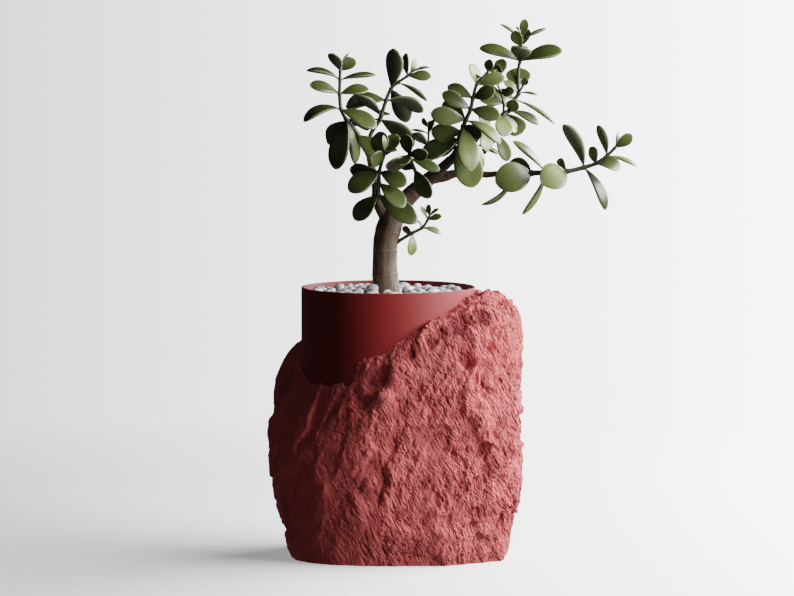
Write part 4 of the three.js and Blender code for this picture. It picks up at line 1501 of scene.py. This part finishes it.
class JADE_OT_shoots(bpy.types.Operator):
    """Makes the leafy shoots, each with its stems and its fleshy leaves"""

    bl_idname = "jade.shoots"
    bl_label = "Leafy shoots"

    def execute(self, context):
        leaves, wood = settings(context, "leaves"), settings(context, "wood")
        materials = [leaf_material(leaves), stem_material(leaves, wood)]
        luck = np.random.default_rng(8)
        for node, stems in SHOOTS.items():
            gathering = Gathering("share", "across", "upper", "rim", "pale")
            for stem in stems:
                add_stem(gathering, stem)
                add_leaves(gathering, stem, leaves, luck)
            made = new_object(f"leafy_{node}", gathering.mesh(f"leafy_{node}"))
            dress(made, node, materials)
        return {"FINISHED"}


# ---------- the stage ----------

# In metres, degrees and the lens's millimetres.
CAMERA = {"target": (0.0101, 0, 0.2959), "pitch": 4.68, "distance": 5.07, "lens": 200, "film": 36, "sees": 50}
KEY = {"compass": 7, "tilt": 24, "distance": 2.1, "width": 4.2, "height": 1.4}
# The floor is paler, and glows more, at the right: painted light for the key light's fall-off, and the glow
# also lightens the shadow on it. Each pair is for its left and its right.
FLOOR = {
    "radius": 1.5,
    "fades from": 0.8,
    "sides": 96,
    "below": 0.0002,
    "pale": (0.48, 0.95),
    "pale ends": (-0.5, 0.5),
    "glow": (0.28, 0.85),
    "glow ends": (-0.15, 0.5),
}
BACKDROP = {"ends": (-0.09, 0.09), "change": 0.61}  # how it grows to the right, as a power of e
FROM_BELOW = {"ends": (-0.7, 0.7), "shares": (0.3, 2.0), "heights": (0.1, -0.9)}  # brighter from the right


def floor_material():
    """Pale matt paper that glows a little as painted light, paler to the right, and fades out at its edge
    into the backdrop.
    """
    material = bpy.data.materials.new("pale_paper")
    graph = empty_graph(material)
    # Painted light: the paper's colour and its glow grow towards the key light's side.
    pale, glow = (
        graph.spread(graph.sideways(), *FLOOR[f"{key} ends"], *FLOOR[key]) for key in ("pale", "glow")
    )
    paper = graph.add("ShaderNodeBsdfDiffuse", {"Color": pale}).outputs[0]
    glow = graph.add("ShaderNodeEmission", {"Strength": glow}).outputs[0]
    both = graph.add("ShaderNodeAddShader", {0: paper, 1: glow}).outputs[0]
    clear = graph.add("ShaderNodeBsdfTransparent").outputs[0]
    radius = graph.vector_maths("LENGTH", {0: graph.place()})["Value"]
    fade = graph.spread(radius, FLOOR["fades from"], FLOOR["radius"])
    shown = graph.add("ShaderNodeMixShader", {0: fade, 1: both, 2: clear}).outputs[0]
    graph.add("ShaderNodeOutputMaterial", {"Surface": shown})
    return material


def studio_world(fill, below, backdrop):
    """A dim fill, and for the camera a pale backdrop that is brighter on the key light's side."""
    world = bpy.data.worlds.new("studio")
    graph = empty_graph(world)
    way = graph.add("ShaderNodeTexCoord").outputs["Generated"]
    parts = graph.add("ShaderNodeSeparateXYZ", {"Vector": way}).outputs
    change = graph.spread(parts["X"], *BACKDROP["ends"], -BACKDROP["change"], BACKDROP["change"])
    glow = graph.maths("MULTIPLY", graph.maths("EXPONENT", change), backdrop)
    seen = graph.add("ShaderNodeBackground", {"Strength": glow}).outputs[0]
    shares = (share * below for share in FROM_BELOW["shares"])
    from_below = graph.spread(parts["X"], *FROM_BELOW["ends"], *shares)
    dim = graph.spread(parts["Z"], *FROM_BELOW["heights"], fill, from_below)
    dim = graph.add("ShaderNodeBackground", {"Strength": dim}).outputs[0]
    camera = graph.add("ShaderNodeLightPath").outputs["Is Camera Ray"]
    both = graph.add("ShaderNodeMixShader", {0: camera, 1: dim, 2: seen}).outputs[0]
    graph.add("ShaderNodeOutputWorld", {"Surface": both})
    return world


def add_floor():
    """The round floor, which lies a hair below the stand's foot and throws no light back at the plant."""
    angles = 2 * np.pi * np.arange(FLOOR["sides"]) / FLOOR["sides"]
    disc = FLOOR["radius"] * np.stack([np.cos(angles), np.sin(angles), 0 * angles], axis=1)
    mesh = bpy.data.meshes.new("floor")
    mesh.from_pydata(disc.tolist(), [], [tuple(range(FLOOR["sides"]))])
    mesh.materials.append(floor_material())
    floor = new_object("floor", mesh)
    floor.location.z = -FLOOR["below"]
    floor.visible_diffuse = floor.visible_glossy = False
    floor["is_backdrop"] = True


def add_key(power):
    """The one light, a wide soft panel at the right that looks at the middle of the plant."""
    light = bpy.data.lights.new("key", "AREA")
    light.energy, light.shape = power, "RECTANGLE"
    light.size, light.size_y = KEY["width"], KEY["height"]
    key = new_object("key", light)
    key.visible_camera = False
    key.location = np.array(CAMERA["target"]) + KEY["distance"] * facing(KEY["compass"], KEY["tilt"])
    key.rotation_euler = (Vector(CAMERA["target"]) - key.location).to_track_quat("-Z", "Y").to_euler()


def add_camera(scene):
    """The camera, level with the photo's and with its long lens."""
    camera = bpy.data.cameras.new("camera")
    camera.lens, camera.sensor_width, camera.sensor_fit = CAMERA["lens"], CAMERA["film"], "HORIZONTAL"
    camera.clip_end = CAMERA["sees"]
    view = new_object("camera", camera)
    pitch = math.radians(CAMERA["pitch"])
    away = CAMERA["distance"] * np.array([0, -math.cos(pitch), math.sin(pitch)])
    view.location = np.array(CAMERA["target"]) + away
    view.rotation_euler = (math.pi / 2 - pitch, 0, 0)
    scene.camera = view


class JADE_OT_stage(bpy.types.Operator):
    """Makes the floor, the soft light, the backdrop and the camera"""

    bl_idname = "jade.stage"
    bl_label = "Studio stage"

    def execute(self, context):
        stage, scene = settings(context, "stage"), context.scene
        add_floor()
        add_key(stage.key)
        add_camera(scene)
        scene.world = studio_world(stage.fill, stage.below, stage.backdrop)
        scene.view_settings.view_transform = "Filmic"
        return {"FINISHED"}


class JADE_PT_panel(bpy.types.Panel):
    """Lists the pieces and their settings"""

    bl_idname = "JADE_PT_panel"
    bl_label = "Jade Plant"
    bl_space_type = "VIEW_3D"
    bl_region_type = "UI"
    bl_category = "Jade Plant"

    def draw(self, context):
        for operator, name, group in PIECES:
            box = self.layout.box()
            box.operator(operator.bl_idname)
            for key in group.__annotations__ if group else ():
                box.prop(settings(context, name), key)


PIECES = (
    (JADE_OT_stage, "stage", JADE_PG_stage),
    (JADE_OT_stand, "stand", JADE_PG_stand),
    (JADE_OT_pot, "pot", JADE_PG_pot),
    (JADE_OT_soil, None, None),
    (JADE_OT_pebbles, "pebbles", JADE_PG_pebbles),
    (JADE_OT_wood, "wood", JADE_PG_wood),
    (JADE_OT_shoots, "leaves", JADE_PG_leaves),
)


def register():
    for operator, name, group in PIECES:
        bpy.utils.register_class(operator)
        if group:
            bpy.utils.register_class(group)
            setattr(bpy.types.Scene, f"jade_{name}", PointerProperty(type=group))
    bpy.utils.register_class(JADE_PT_panel)


def unregister():
    bpy.utils.unregister_class(JADE_PT_panel)
    for operator, name, group in reversed(PIECES):
        if group:
            delattr(bpy.types.Scene, f"jade_{name}")
            bpy.utils.unregister_class(group)
        bpy.utils.unregister_class(operator)


def main():
    register()
    for operator, _, _ in PIECES:
        space, name = operator.bl_idname.split(".")
        getattr(getattr(bpy.ops, space), name)()
    boxes = {"cad": CAD_BOX, "visual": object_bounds()}
    {key: [list(corner) for corner in box] for key, box in boxes.items()}


if __name__ == "__main__":
    main()
